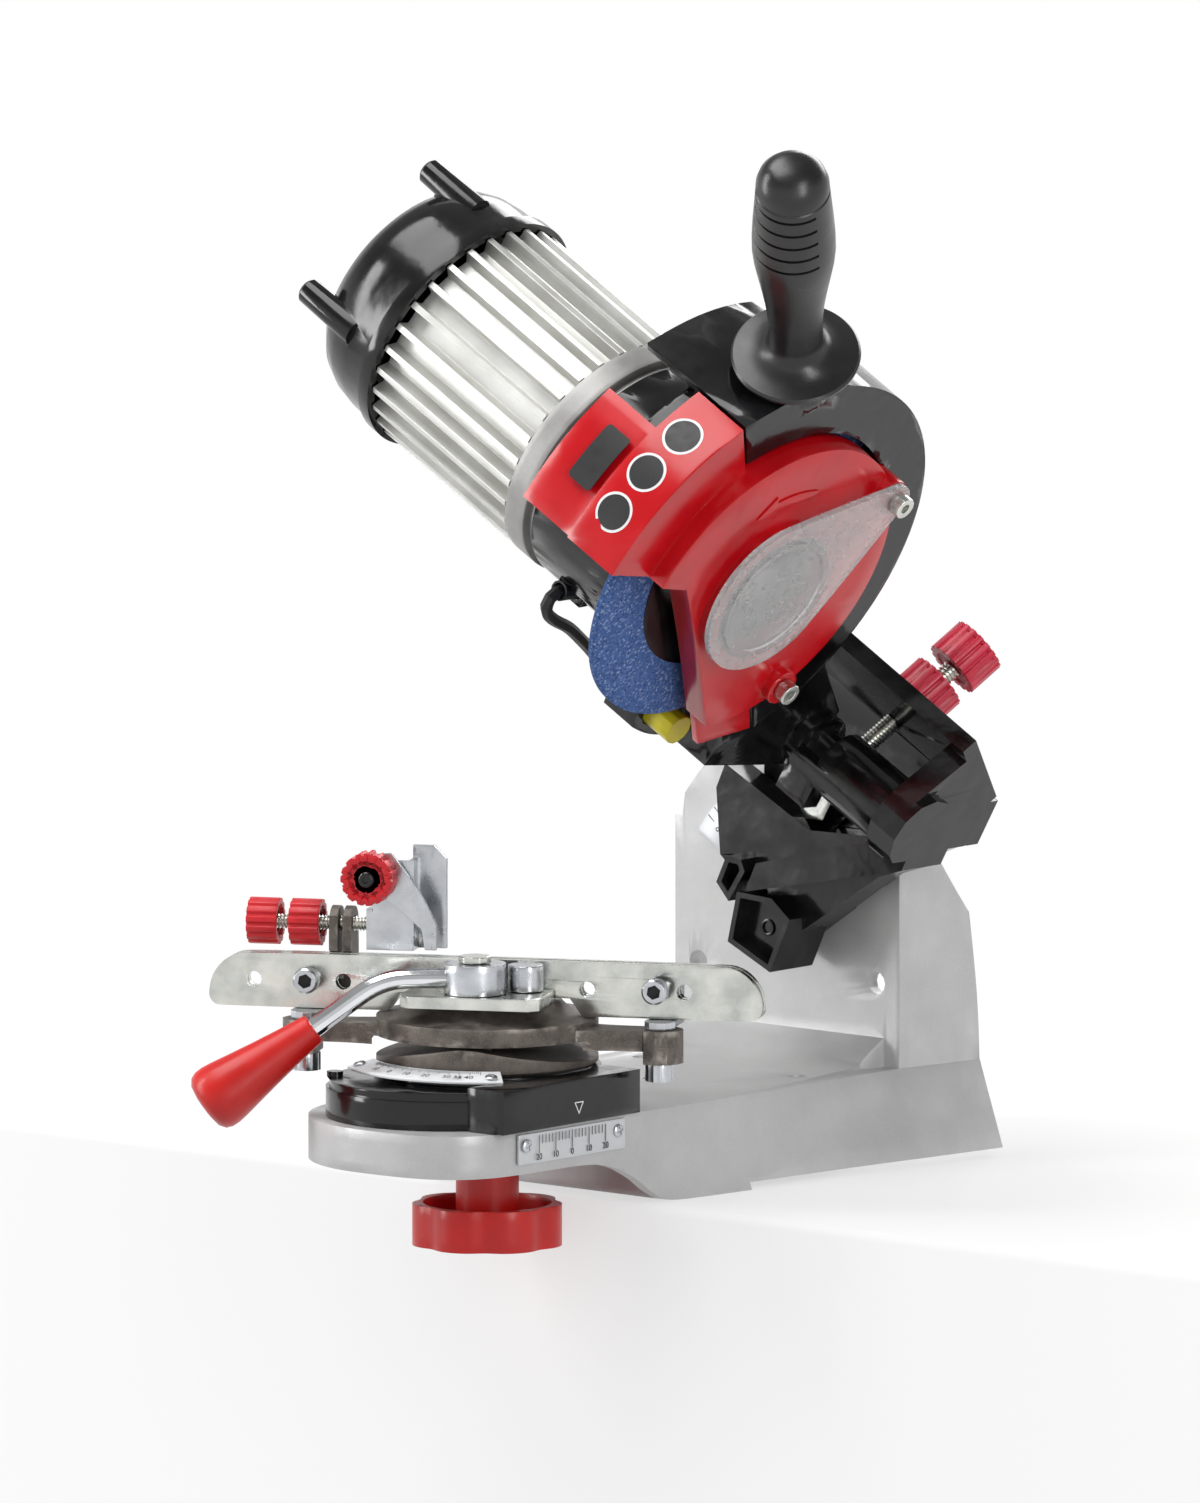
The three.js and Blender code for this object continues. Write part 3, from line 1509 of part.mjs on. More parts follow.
// How far the screw's tip lies past the pivot along the screw
function depthAlong() {
  return depth.tip.back * Math.sin(depth.slope) + depth.tip.up * Math.cos(depth.slope);
}
function makeTiltPivot() {
  const front = columnFace - clearance - bracket.wall - bracket.padProud - clearance;
  const back = columnFace + base.plate + clearance;
  const head = rodY(tiltPivot.head, front - tiltPivot.headDepth, front, 0, chainLine);
  const shank = rodY(tiltPivot.radius, front - overrun, back + tiltPivot.nutDepth, 0, chainLine);
  const nut = rodY(tiltPivot.nut, back, back + tiltPivot.nutDepth, 0, chainLine, socketFacets);
  return join(head, shank, nut);
}
function makeTiltBolt() {
  const front = columnFace - clearance - bracket.wall - bracket.padProud - clearance;
  const head = rodY(tiltBolt.head, front - tiltBolt.headDepth, front, 0, tiltSlot.radius, socketFacets);
  const tail = tiltKnob.front + tiltKnob.thick / 2;
  return join(head, rodY(tiltBolt.shank, front - overrun, tail, 0, tiltSlot.radius));
}
function makeTiltKnob() {
  const front = tiltKnob.front;
  const body = lobedKnob(tiltKnob.radius, tiltKnob.lobeDeep, tiltKnob.lobes, 0, tiltKnob.thick);
  const knob = body.rotate([-degrees.quarter, 0, 0]).translate([0, front, tiltSlot.radius]);
  const hub = rodY(tiltKnob.hub, columnFace + base.plate + clearance, front + overrun, 0, tiltSlot.radius);
  const bore = rodY(
    tiltBolt.shank + clearance,
    columnFace,
    front + tiltKnob.thick / 2 + clearance,
    0,
    tiltSlot.radius,
  );
  return cut(join(knob, hub), bore);
}
function makeSwingPin() {
  const from = -bracket.left - bracket.bossProud - clearance;
  const to = bracket.right - bracket.pinStop - clearance;
  const shank = rodX(swingPin.radius, from - overrun, to, pivot.y, pivot.z);
  return join(shank, rodX(swingPin.head, from - swingPin.headDepth, from, pivot.y, pivot.z));
}
// Return spring: a coil round the pivot with one leg against the wall
function makeSpring() {
  const turns = spring.turns;
  const span = -spring.to + spring.from;
  const count = turns * spring.steps;
  const points = [];
  for (let i = 0; i <= count; i++) {
    const turn = (i * fullTurn) / spring.steps;
    points.push(
      new THREE.Vector3(
        -spring.from + (span * i) / count,
        pivot.y + spring.radius * Math.cos(turn),
        pivot.z + spring.radius * Math.sin(turn),
      ),
    );
  }
  const path = new THREE.CatmullRomCurve3(points);
  return sweep(path, spring.wire, count, spring.wireFacets);
}

// Head, in a frame at the wheel's centre: X along the wheel axis, Z up the machine
const pivotAt = {
  y: swingPivot.back - raisedWheel.back,
  z: swingPivot.up - raisedWheel.up,
};
function makeHeadCasting() {
  const h = housing;
  const sector = (inner, outer) => ringShape(inner, outer, h.from, h.to);
  const rim = slabX(sector(h.radius - h.wall, h.radius), -h.rear, h.front, round);
  const face = slabX(sector(h.radius - h.faceWidth, h.radius), h.front - h.face, h.front, round);
  const web = slabX(sector(h.shaftHole, h.radius - h.wall / 2), -h.webRear, -h.webFront, round);
  const webLeft = slabX(
    ringShape(h.shaftHole, h.radius - h.webLeftShort, h.to - h.webLap, h.webTo),
    -h.webRear,
    -h.webFront,
    round,
  );
  const webLow = slabX(
    ringShape(h.shaftHole, h.hub, h.webTo - h.webLap, degrees.full + h.from + h.webLap),
    -h.webRear,
    -h.webFront,
    round,
  );
  const hub = turnedX([
    [h.hub - h.hubWall, -h.hubRear],
    [h.hub, -h.hubRear],
    [h.hub, -h.webFront - h.face],
    [h.hub - h.hubWall, -h.webFront - h.face],
    [h.hub - h.hubWall, -h.hubRear],
  ]);
  const armShape = (shares) => outline(shares.map(([y, z]) => [pivotAt.y * y, -pivotAt.z * z]));
  const armWeb = slabX(armShape(arm.shares), -arm.webLeft, arm.webRight);
  const lobe = slabX(armShape(arm.lobeShares), -arm.webLeft, -arm.lobeRight);
  const chamber = rodX(h.radius - h.chamberWall, -h.chamberRear, arm.webRight + overrun, 0, 0, round);
  const boss = rodX(arm.boss, -arm.left, arm.right, pivotAt.y, pivotAt.z, round);
  const springRoom = rodX(arm.springRoom, -arm.springFrom, -arm.left, pivotAt.y, pivotAt.z, round);
  const stopTurn = -THREE.MathUtils.radToDeg(depth.slope) - arm.lowered;
  const stopFace = depthAlong() - arm.stopGap;
  const stopLug = block(
    depth.across - arm.stopHalf,
    depth.across + arm.stopHalf,
    arm.boss - arm.stopSink,
    arm.stopReach,
    stopFace - arm.stopDeep,
    stopFace,
  )
    .rotate([stopTurn, 0, 0])
    .translate([0, pivotAt.y, pivotAt.z]);
  const [leadX, leadY, leadZ] = lead.route[0];
  const sleeveBoss = block(
    leadX - lead.boss,
    leadX + lead.boss,
    -lead.bossLeft,
    -lead.bossRight,
    leadZ - lead.boss,
    -lead.bossTop,
  );
  const sleeveBore = rodY(lead.sleeve + clearance, -h.radius, leadY + clearance, leadX, leadZ);
  const ears = [lensTip, lowerScrew].map((at) => {
    const turn = THREE.MathUtils.radToDeg(Math.atan2(at.up, at.back));
    const rear = guard.wallRear - clearance;
    const far = h.radius - h.wall / 2;
    const ear = block(h.earRear, rear, discRadius - h.earSink, far, -h.earHalf, h.earHalf);
    const root = block(h.earRear, h.front - h.face / 2, h.radius - h.faceWidth, far, -h.earHalf, h.earHalf);
    const drill = rodX(coverScrew.shank + clearance, 0, rear + overrun, at.back, at.up);
    return cut(join(ear, root).rotate([turn, 0, 0]), drill);
  });
  const bossRooms = [lensTip, lowerScrew].map((at) =>
    rodX(guard.boss + clearance, guard.wallRear - clearance, h.front + overrun, at.back, at.up),
  );
  const socket = placeHandle(rodZ(handle.socket, -handle.socketLong, -clearance));
  const socketBore = placeHandle(rodZ(handle.stud + clearance, -handle.studLong - clearance, overrun));
  const edge = toggle.width / 2 + toggle.padEdge;
  const togglePad = block(
    -toggle.from - toggle.padEdge,
    -toggle.from + toggle.height + toggle.padEdge,
    h.radius - h.wall,
    h.radius + toggle.padRise,
    -edge,
    edge,
  );
  const lampBore = rodX(
    lamp.radius + clearance,
    -arm.webLeft - overrun,
    -arm.lobeRight + overrun,
    lamp.back,
    -lamp.up,
  );
  const pinBore = rodX(
    swingPin.radius + clearance,
    -arm.left - overrun,
    arm.right + overrun,
    pivotAt.y,
    pivotAt.z,
  );
  const armBody = cut(join(armWeb, lobe), chamber, springRoom, lampBore);
  const shell = join(rim, face, web, webLeft, webLow, hub, armBody, togglePad, ...ears);
  const shaftBore = rodX(h.shaftHole, -h.hubRear - overrun, h.front + overrun);
  // The depth screw passes beside the boss, which is turned down there except at the stop lug
  const kept = block(0, arm.right, 0, h.radius, -h.radius, stopFace).rotate([stopTurn, 0, 0]);
  const collar = cut(
    rodX(arm.groove, depth.across - arm.grooveHalf, depth.across + arm.grooveHalf, 0, 0, round),
    rodX(arm.neck, depth.across - arm.stopHalf, depth.across + arm.stopHalf, 0, 0, round),
    kept,
  ).translate([0, pivotAt.y, pivotAt.z]);
  const whole = join(shell, cut(join(boss, stopLug), collar), sleeveBoss, socket);
  return cut(whole, pinBore, shaftBore, sleeveBore, socketBore, ...bossRooms);
}
// The handle's own axis is Z; this leans it and puts its foot in place
function placeHandle(made) {
  const foot = fromHub(housing.radius + handle.footStand, handle.footTurn);
  return made.rotate([handle.turn - degrees.quarter, 0, 0]).translate([0, foot.back, foot.up]);
}
const ofDisc = (shares) => shares.map(([y, z]) => [discRadius * y, discRadius * z]);
function makeGuard() {
  const g = guard;
  const carrierRadius = housing.radius - g.carrierInset;
  const discRear = g.front - g.plate;
  const disc = rodX(discRadius, discRear, g.front, 0, 0, round);
  const skirt = cut(
    rodX(discRadius, g.wallRear, g.front, 0, 0, round),
    rodX(discRadius - g.wall, g.wallRear - overrun, discRear, 0, 0, round),
  );
  const sector = slabX(
    ringShape(discRadius - g.wall / 2, housing.radius, g.from, g.to),
    g.sectorFront - g.plate,
    g.sectorFront,
    round,
  );
  const band = slabX(
    ringShape(housing.radius - g.bandThick, housing.radius, g.from, g.to),
    -g.bandRear,
    g.sectorFront,
    round,
  );
  const carrier = slabX(
    ringShape(carrierRadius - g.bandThick, carrierRadius, g.carrierFrom, g.to),
    -g.carrierRear,
    -g.bandRear + g.bandThick,
    round,
  );
  const tail = slabX(outline(ofDisc(g.tailShares)), g.tailFront - g.plate, g.tailFront);
  const ring = turnedX([
    [g.ring - g.ringWall, discRear - g.plate],
    [g.ring, discRear - g.plate],
    [g.ring, g.ringFront],
    [g.ring - g.ringWall, g.ringFront],
    [g.ring - g.ringWall, discRear - g.plate],
  ]);
  const bosses = [lensTip, lowerScrew].map((at) => rodX(g.boss, g.wallRear, g.ringFront, at.back, at.up));
  const drills = [lensTip, lowerScrew].map((at) =>
    rodX(coverScrew.shank + clearance, g.wallRear - overrun, g.ringFront + overrun, at.back, at.up),
  );
  const openEdge = ofDisc(g.openShares);
  const edgeWall = (points) => {
    const strip = [];
    points.slice(1).forEach(([y1, z1], i) => {
      const [y0, z0] = points[i];
      const run = Math.hypot(y1 - y0, z1 - z0);
      const turn = THREE.MathUtils.radToDeg(Math.atan2(z1 - z0, y1 - y0));
      const wall = block(g.wallRear, g.front, -g.wall, run + g.wall, -g.wall, g.wall).rotate([turn, 0, 0]);
      strip.push(wall.translate([0, y0, z0]));
    });
    return join(...strip);
  };
  const opening = slabX(outline(openEdge), g.wallRear - overrun, g.front + overrun);
  const bounds = rodX(discRadius - g.wall / 2, g.wallRear, g.front - g.plate / 2, 0, 0, round);
  const edges = common(edgeWall(openEdge.slice(1, 5)), bounds);
  const upper = join(cut(join(disc, skirt, sector, edges), opening), band, carrier, tail);
  const hubRoom = rodX(g.ring - g.ringWall, -g.bandRear, g.ringFront + overrun, 0, 0, round);
  return cut(join(upper, ring, ...bosses), hubRoom, ...drills);
}
function makeLens() {
  const shape = teardropShape(lens.centre, lens.radius, lensTip, lens.tip);
  const plate = slabX(shape, lens.rear, lens.rear + lens.thick, round);
  const bead = turnedX([
    [lens.ring - lens.ringWidth, lens.rear],
    [lens.ring, lens.rear],
    [lens.ring, lens.rear + lens.thick + lens.ringRise],
    [lens.ring - lens.ringWidth, lens.rear + lens.thick + lens.ringRise],
    [lens.ring - lens.ringWidth, lens.rear],
  ]).translate([0, lens.centre.back, lens.centre.up]);
  const hole = rodX(
    coverScrew.shank + clearance,
    lens.rear - overrun,
    lens.rear + lens.thick + overrun,
    lensTip.back,
    lensTip.up,
  );
  return cut(join(plate, bead), hole);
}
function makeCoverScrew(at, seatAt) {
  const head = rodX(coverScrew.head, seatAt, seatAt + coverScrew.headDepth, at.back, at.up);
  const shank = rodX(coverScrew.shank, coverScrew.rear, seatAt + overrun, at.back, at.up);
  const socket = rodX(
    coverScrew.socket,
    seatAt + coverScrew.headDepth - coverScrew.socketDeep,
    seatAt + coverScrew.headDepth + overrun,
    at.back,
    at.up,
    socketFacets,
  );
  return cut(join(head, shank), socket);
}

// Wheel and everything that spins with it
function makeWheel() {
  const half = wheel.thick / 2;
  return turnedX(
    [
      [wheel.bore, -half],
      [wheelRadius - wheel.taperRun, -half],
      [wheelRadius, -half + wheel.taper],
      [wheelRadius, half - wheel.taper],
      [wheelRadius - wheel.taperRun, half],
      [wheel.bore, half],
      [wheel.bore, -half],
    ],
    wheelFacets,
  );
}
function makeFlange(front) {
  const near = wheel.thick / 2 + clearance;
  const far = near + flanges.thick;
  const plate = rodX(flanges.radius, near, far, 0, 0, round);
  const bored = cut(plate, rodX(shaft.radius + clearance, near - overrun, far + overrun));
  const recess = cut(
    bored,
    cut(
      rodX(flanges.radius - flanges.rim, far - flanges.recess, far + overrun, 0, 0, round),
      rodX(flanges.hub, far - flanges.recess - overrun, far + 2 * overrun, 0, 0, round),
    ),
  );
  return front ? recess : recess.rotate([0, degrees.half, 0]);
}
function makeWheelNut() {
  const from = wheel.thick / 2 + 2 * clearance + flanges.thick;
  const nut = rodX(flanges.nut, from, from + flanges.nutThick, 0, 0, socketFacets);
  return cut(nut, rodX(shaft.radius + clearance, from - overrun, from + flanges.nutThick + overrun));
}
function makeShaft() {
  const bar = rodX(shaft.radius, -shaft.rear, shaft.front);
  return join(bar, rodX(shaft.rotor, -shaft.rotorTo, -shaft.rotorFrom, 0, 0, round));
}
function makeBearing(at) {
  const half = bearing.thick / 2;
  const ring = rodX(bearing.outer, at - half, at + half, 0, 0, round);
  return cut(ring, rodX(bearing.bore, at - half - overrun, at + half + overrun));
}
function makeStator() {
  const made = cut(
    rodX(stator.outer, -stator.to, -stator.from, 0, 0, round),
    rodX(stator.inner, -stator.to - overrun, -stator.from + overrun, 0, 0, round),
  );
  const slots = [];
  for (let i = 0; i < stator.teeth; i++) {
    const slot = block(
      -stator.to - overrun,
      -stator.from + overrun,
      stator.inner - overrun,
      stator.slotTo,
      -stator.slot / 2,
      stator.slot / 2,
    );
    slots.push(slot.rotate([(i * degrees.full) / stator.teeth, 0, 0]));
  }
  return cut(made, ...slots);
}
function makeMotorFlange() {
  const m = motor;
  const disc = turnedX([
    [bearing.outer + clearance, -m.flangeRear],
    [m.flangeRadius, -m.flangeRear],
    [m.flangeRadius, -m.flangeFront - m.flangeStep],
    [m.flangeRadius - m.flangeStep, -m.flangeFront - m.flangeStep],
    [housing.hub, -m.flangeFront],
    [shaft.radius + m.shaftGap, -m.flangeFront],
    [shaft.radius + m.shaftGap, -bearing.front + bearing.thick / 2 + clearance],
    [bearing.outer + clearance, -bearing.front + bearing.thick / 2 + clearance],
    [bearing.outer + clearance, -m.flangeRear],
  ]);
  return disc;
}
function makeMotorBody() {
  const m = motor;
  const step = fullTurn / m.fins;
  const ring = [];
  const at = (r, turn) => [r * Math.cos(turn), r * Math.sin(turn)];
  for (let i = 0; i < m.fins; i++) {
    const mid = i * step;
    const half = (step * m.finShare) / 2;
    ring.push(at(m.finRoot, mid - half * m.rootShare), at(m.finOuter, mid - half));
    ring.push(at(m.finOuter, mid + half), at(m.finRoot, mid + half * m.rootShare));
  }
  const body = slabX(outline(ring), -m.bodyRear, -m.flangeRear - clearance);
  return cut(body, rodX(m.bore, -m.bodyRear - overrun, -m.flangeRear + overrun, 0, 0, round));
}
function makeMotorCap() {
  const m = motor;
  const front = -m.bodyRear - clearance;
  const r = m.capRadius;
  const w = m.capWall;
  const long = front + m.capRear;
  const shell = turnedX([
    [0, -m.capRear],
    [r * m.capEndShare, -m.capRear],
    [r * m.capShoulderShare, -m.capRear + long * m.capEndDepthShare],
    [r - w, -m.capRear + long * m.capShoulderDepthShare],
    [r - w, front - m.capLip],
    [r, front - m.capLip],
    [r, front],
    [r - w, front],
    [r - w - w, front - w],
    [r - w - w, -m.capRear + long * m.capShoulderDepthShare],
    [r * m.capShoulderShare - w, -m.capRear + long * m.capEndDepthShare + w],
    [bearing.outer + w, -m.capRear + w],
    [bearing.outer + w, -bearing.rear + bearing.thick / 2],
    [bearing.outer + clearance, -bearing.rear + bearing.thick / 2],
    [bearing.outer + clearance, -bearing.rear - bearing.thick / 2 - clearance],
    [shaft.radius + m.shaftGap, -bearing.rear - bearing.thick / 2 - clearance],
    [shaft.radius + m.shaftGap, -m.capRear + w],
    [0, -m.capRear + w],
  ]);
  const posts = [];
  for (let i = 0; i < m.posts; i++) {
    const turn = m.postTurn + (i * degrees.full) / m.posts;
    const post = rodX(m.postRadius, -m.postRear, front, m.postAt, 0);
    const web = block(-m.postWebRear, front, m.postAt - m.capRadius / 2, m.postAt, -w / 2, w / 2);
    posts.push(join(post, web).rotate([turn, 0, 0]));
  }
  const inside = turnedX([
    [0, -m.capRear + w],
    [bearing.outer + w, -m.capRear + w],
    [r * m.capShoulderShare - w, -m.capRear + long * m.capEndDepthShare + w],
    [r - w - w, -m.capRear + long * m.capShoulderDepthShare],
    [r - w - w, front + overrun],
    [0, front + overrun],
  ]);
  return join(shell, cut(join(...posts), inside));
}
function makeFan() {
  const f = fan;
  const plate = rodX(f.radius, -f.rear, -f.rear + f.plate, 0, 0, round);
  const hub = rodX(f.hub, -f.rear, -f.rear + f.thick);
  const blades = [];
  for (let i = 0; i < f.blades; i++) {
    const half = f.blade / 2;
    const blade = block(-f.rear, -f.rear + f.thick, f.hub - f.blade, f.radius - f.blade, -half, half);
    blades.push(blade.rotate([(i * degrees.full) / f.blades, 0, 0]));
  }
  const bore = rodX(shaft.radius + clearance, -f.rear - overrun, -f.rear + f.thick + overrun);
  return cut(join(plate, hub, ...blades), bore);
}
function makeHandle() {
  const h = handle;
  const profile = turnedZ([
    [0, 0],
    [h.disc, 0],
    [h.disc, h.discEdge],
    [h.neck + h.discRise / 2, h.discRise],
    [h.neck, h.discRise + h.discEdge],
    [h.waist, h.waistAt],
    [h.grip, h.gripAt],
    [h.grip - h.gripWaist, h.gripAt + (h.grooveAt - h.gripAt) / 2],
    [h.groove, h.grooveAt],
    [h.ball, h.grooveAt + h.discEdge],
    [h.ball, h.ballAt],
    ...h.crownShares.map(([r, up]) => [h.ball * r, h.ballAt + (h.length - h.ballAt) * up]),
  ]);
  return placeHandle(join(profile, rodZ(h.stud, -h.studLong, overrun)));
}
function makeLamp() {
  const body = rodX(lamp.radius, -lamp.from, -lamp.to, lamp.back, -lamp.up);
  const end = -lamp.from;
  const bore = rodX(lead.radius + clearance, end - overrun, end + lamp.socket, lamp.back, -lamp.up);
  return cut(body, bore);
}
function makeSleeve() {
  const [x, y, z] = lead.route[0];
  const sleeve = rodY(lead.sleeve, y - lead.sleeveLength, y, x, z);
  return cut(sleeve, rodY(lead.radius + 2 * clearance, y - lead.sleeveLength - overrun, y - lead.grip, x, z));
}
function makeLead() {
  const places = lead.route.map(([x, y, z]) => new THREE.Vector3(x, y, z));
  places[0].y -= lead.grip + clearance;
  return sweep(new THREE.CatmullRomCurve3(places), lead.radius, lead.steps, lead.facets);
}
const toggleFloor = () => housing.radius + toggle.padRise + clearance;
function toggleAxle(radius, reach) {
  const x = -toggle.from + toggle.height / 2;
  return rodZ(radius, -reach, reach, x, toggleFloor() + toggle.axleUp);
}
function makeSwitchBody() {
  const y = toggleFloor();
  const half = toggle.width / 2;
  const body = block(-toggle.from, -toggle.from + toggle.height, y, y + toggle.depth, -half, half);
  const pocket = block(
    -toggle.from + toggle.edge,
    -toggle.from + toggle.height - toggle.edge,
    y + toggle.floor,
    y + toggle.depth + overrun,
    -half + toggle.edge,
    half - toggle.edge,
  );
  const axleReach = half - toggle.edge + toggle.axleBite + clearance;
  return cut(body, pocket, toggleAxle(toggle.axle + clearance, axleReach));
}
function makeSwitchRocker() {
  const y = toggleFloor();
  const x = -toggle.from + toggle.height / 2;
  const half = toggle.width / 2 - toggle.edge - toggle.rockerGap;
  const rocker = block(
    x - toggle.rockerLong / 2,
    x + toggle.rockerLong / 2,
    y + toggle.rockerLow,
    y + toggle.rockerHigh,
    -half,
    half,
  );
  const axle = toggleAxle(toggle.axle, toggle.width / 2 - toggle.edge + toggle.axleBite);
  const up = y + toggle.axleUp;
  return join(rocker, axle).translate([-x, -up, 0]).rotate([0, 0, -toggle.lean]).translate([x, up, 0]);
}

// Whole machine: each group carries what moves together
function group(name, ...members) {
  const made = new THREE.Group();
  made.name = name;
  made.add(...members);
  return made;
}
function wheelSpindle() {
  return group(
    "wheel_spindle",
    piece("grinding_wheel", makeWheel(), "stone"),
    piece("wheel_flange_inner", makeFlange(false), "blackPlastic"),
    piece("wheel_flange_outer", makeFlange(true), "zinc"),
    piece("wheel_nut", makeWheelNut(), "steel"),
    piece("motor_shaft", makeShaft(), "steel"),
    piece("cooling_fan", makeFan(), "blackPlastic"),
  );
}
function grinderHead() {
  const head = group(
    "grinder_head",
    wheelSpindle(),
    piece("head_casting", makeHeadCasting(), "blackEnamel"),
    piece("motor_flange", makeMotorFlange(), "castGrey"),
    piece("motor_body", makeMotorBody(), "aluminium"),
    piece("motor_cap", makeMotorCap(), "blackPlastic"),
    piece("stator", makeStator(), "copper"),
    piece("front_bearing", makeBearing(-bearing.front), "steel"),
    piece("rear_bearing", makeBearing(-bearing.rear), "steel"),
    piece("front_guard", makeGuard(), "guardRed"),
    piece("lens_cover", makeLens(), "clear"),
    piece("lens_screw", makeCoverScrew(lensTip, lens.rear + lens.thick + clearance), "zinc"),
    piece("guard_screw", makeCoverScrew(lowerScrew, guard.ringFront + clearance), "zinc"),
    piece("handle_grip", makeHandle(), "redPlastic"),
    piece("lamp", makeLamp(), "yellow"),
    piece("lamp_lead", makeLead(), "rubber"),
    piece("lead_sleeve", makeSleeve(), "rubber"),
    piece("switch_body", makeSwitchBody(), "blackPlastic"),
    piece("switch_rocker", makeSwitchRocker(), "redPlastic"),
  );
  head.position.set(0, raisedWheel.back, raisedWheel.up);
  return head;
}
function tiltingFrame() {
  const frame = group(
    "tilting_frame",
    grinderHead(),
    piece("tilt_bracket", makeBracket(), "blackEnamel"),
    piece("tilt_clamp_bolt", makeTiltBolt(), "zinc"),
    piece("tilt_knob", makeTiltKnob(), "redPlastic"),
    piece("swing_pivot_pin", makeSwingPin(), "steel"),
    piece("torsion_spring", makeSpring(), "steel"),
    piece("depth_screw", makeDepthScrew(), "crimson"),
    piece("depth_lock_knob", makeDepthLock(), "crimson"),
  );
  frame.position.z = chainLine;
  frame.rotation.y = headTilt;
  return frame;
}
function camLever() {
  const made = makeLever();
  const levered = group(
    "cam_lever",
    piece("cam_hub", makeCamHub(), "zinc"),
    piece("lever_rod", made.rod, "chrome"),
    piece("lever_grip", made.grip, "redPlastic"),
  );
  levered.position.set(0, -cam.front, leverUp);
  levered.rotation.z = THREE.MathUtils.degToRad(lever.turn);
  return levered;
}
function chainStop() {
  const made = group(
    "chain_stop",
    piece("stop_bracket", makeStopBracket(), "zinc"),
    piece("stop_screw", makeStopScrew(), "redPlastic"),
    piece("stop_lock_knob", makeStopLock(), "redPlastic"),
    piece("stop_carrier", makeStopCarrier(), "zinc"),
    piece("stop_pawl", makePawl(), "steel"),
    piece("pawl_knob", makePawlKnob(), "redPlastic"),
  );
  made.position.x = -postSpan;
  return made;
}
function turningVise() {
  const turned = group(
    "turning_vise",
    camLever(),
    piece("rotary_seat", makeSeat(), "castIron"),
    piece("vise_casting", makeViseCasting(), "castIron"),
    piece("clamp_plate", makeClampPlate(), "zinc"),
    piece("fixed_rail", makeRail(false), "zinc"),
    piece("movable_rail", makeRail(true), "zinc"),
    piece("rail_pusher", makeShoe(), "zinc"),
    piece("cam_bolt", makeCamBolt(), "steel"),
    chainStop(),
  );
  [["left", -1], ["right", 1]].forEach(([side, sign]) => {
    turned.add(
      piece("rail_post_" + side, makePost(sign), "steel"),
      piece("rail_screw_" + side, makeRailScrew(sign), "zinc"),
      piece("thumb_nut_" + side, makeThumbNut(sign), "steel"),
    );
  });
  turned.rotation.z = viseTurn;
  return turned;
}
const machine = group(
  "machine",
  turningVise(),
  tiltingFrame(),
  piece("base_casting", makeBase(), "paint"),
  piece("slide_scale", makeSlideScale(), "plateWhite"),
  piece("tilt_scale", makeTiltScale(), "plateWhite"),
  piece("tilt_pivot_bolt", makeTiltPivot(), "zinc"),
  piece("slide_plate", makeSlidePlate(), "blackEnamel"),
  piece("angle_scale", makeArcScale(), "plateWhite"),
  piece("clamp_stud", makeClampStud(), "steel"),
  piece("clamp_knob", makeClampKnob(), "redPlastic"),
);
machine.position.y = -viseToFoot;

const sharpener = new THREE.Group();
sharpener.name = "electric_chainsaw_sharpener";
sharpener.add(machine);

export default sharpener;
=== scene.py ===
# Chainsaw sharpener: what the eye sees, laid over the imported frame
import json
import math

import bpy
from mathutils import Matrix, Vector

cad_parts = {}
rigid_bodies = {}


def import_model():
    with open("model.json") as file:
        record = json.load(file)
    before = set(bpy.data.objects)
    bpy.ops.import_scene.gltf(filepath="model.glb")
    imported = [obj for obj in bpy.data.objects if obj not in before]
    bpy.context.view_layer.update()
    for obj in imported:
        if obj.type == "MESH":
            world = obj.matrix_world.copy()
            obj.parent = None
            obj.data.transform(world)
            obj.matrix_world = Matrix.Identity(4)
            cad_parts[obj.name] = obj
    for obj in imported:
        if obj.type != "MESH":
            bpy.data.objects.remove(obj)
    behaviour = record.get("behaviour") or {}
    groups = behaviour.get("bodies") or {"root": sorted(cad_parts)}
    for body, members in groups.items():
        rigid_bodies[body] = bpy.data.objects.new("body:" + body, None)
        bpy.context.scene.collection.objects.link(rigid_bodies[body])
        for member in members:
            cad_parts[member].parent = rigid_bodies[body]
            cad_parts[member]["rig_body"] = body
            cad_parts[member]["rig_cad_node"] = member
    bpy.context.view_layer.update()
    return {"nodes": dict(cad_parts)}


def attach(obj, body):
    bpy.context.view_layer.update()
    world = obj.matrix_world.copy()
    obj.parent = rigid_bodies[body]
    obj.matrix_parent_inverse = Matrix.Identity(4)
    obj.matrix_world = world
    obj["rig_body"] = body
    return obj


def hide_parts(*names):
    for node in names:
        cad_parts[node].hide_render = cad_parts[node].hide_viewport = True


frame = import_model()
nodes = frame["nodes"]
mm = 0.001

# The camera stands where the photographer did, far off with a long lens
camera = {
    "target": (24.2, -75.2, 175.5),
    "right": (0.760, 0.649, 0.0),
    "back": (0.6425, -0.7524, 0.1391),
    "distance": 16000,
    "lens": 651.6,
    "film": 24,
    "reach": 60,
}


def makeCamera():
    back = Vector(camera["back"]).normalized()
    right = Vector(camera["right"]).normalized()
    up = back.cross(right)
    place = Vector(camera["target"]) * mm + back * camera["distance"] * mm
    data = bpy.data.cameras.new("photoCamera")
    data.sensor_fit = "VERTICAL"
    data.sensor_height = camera["film"]
    data.lens = camera["lens"]
    data.clip_end = camera["reach"]
    holder = bpy.data.objects.new("photoCamera", data)
    holder.matrix_world = Matrix.Translation(place) @ Matrix((right, up, back)).transposed().to_4x4()
    bpy.context.scene.collection.objects.link(holder)
    bpy.context.scene.camera = holder


makeCamera()
print("camera placed")

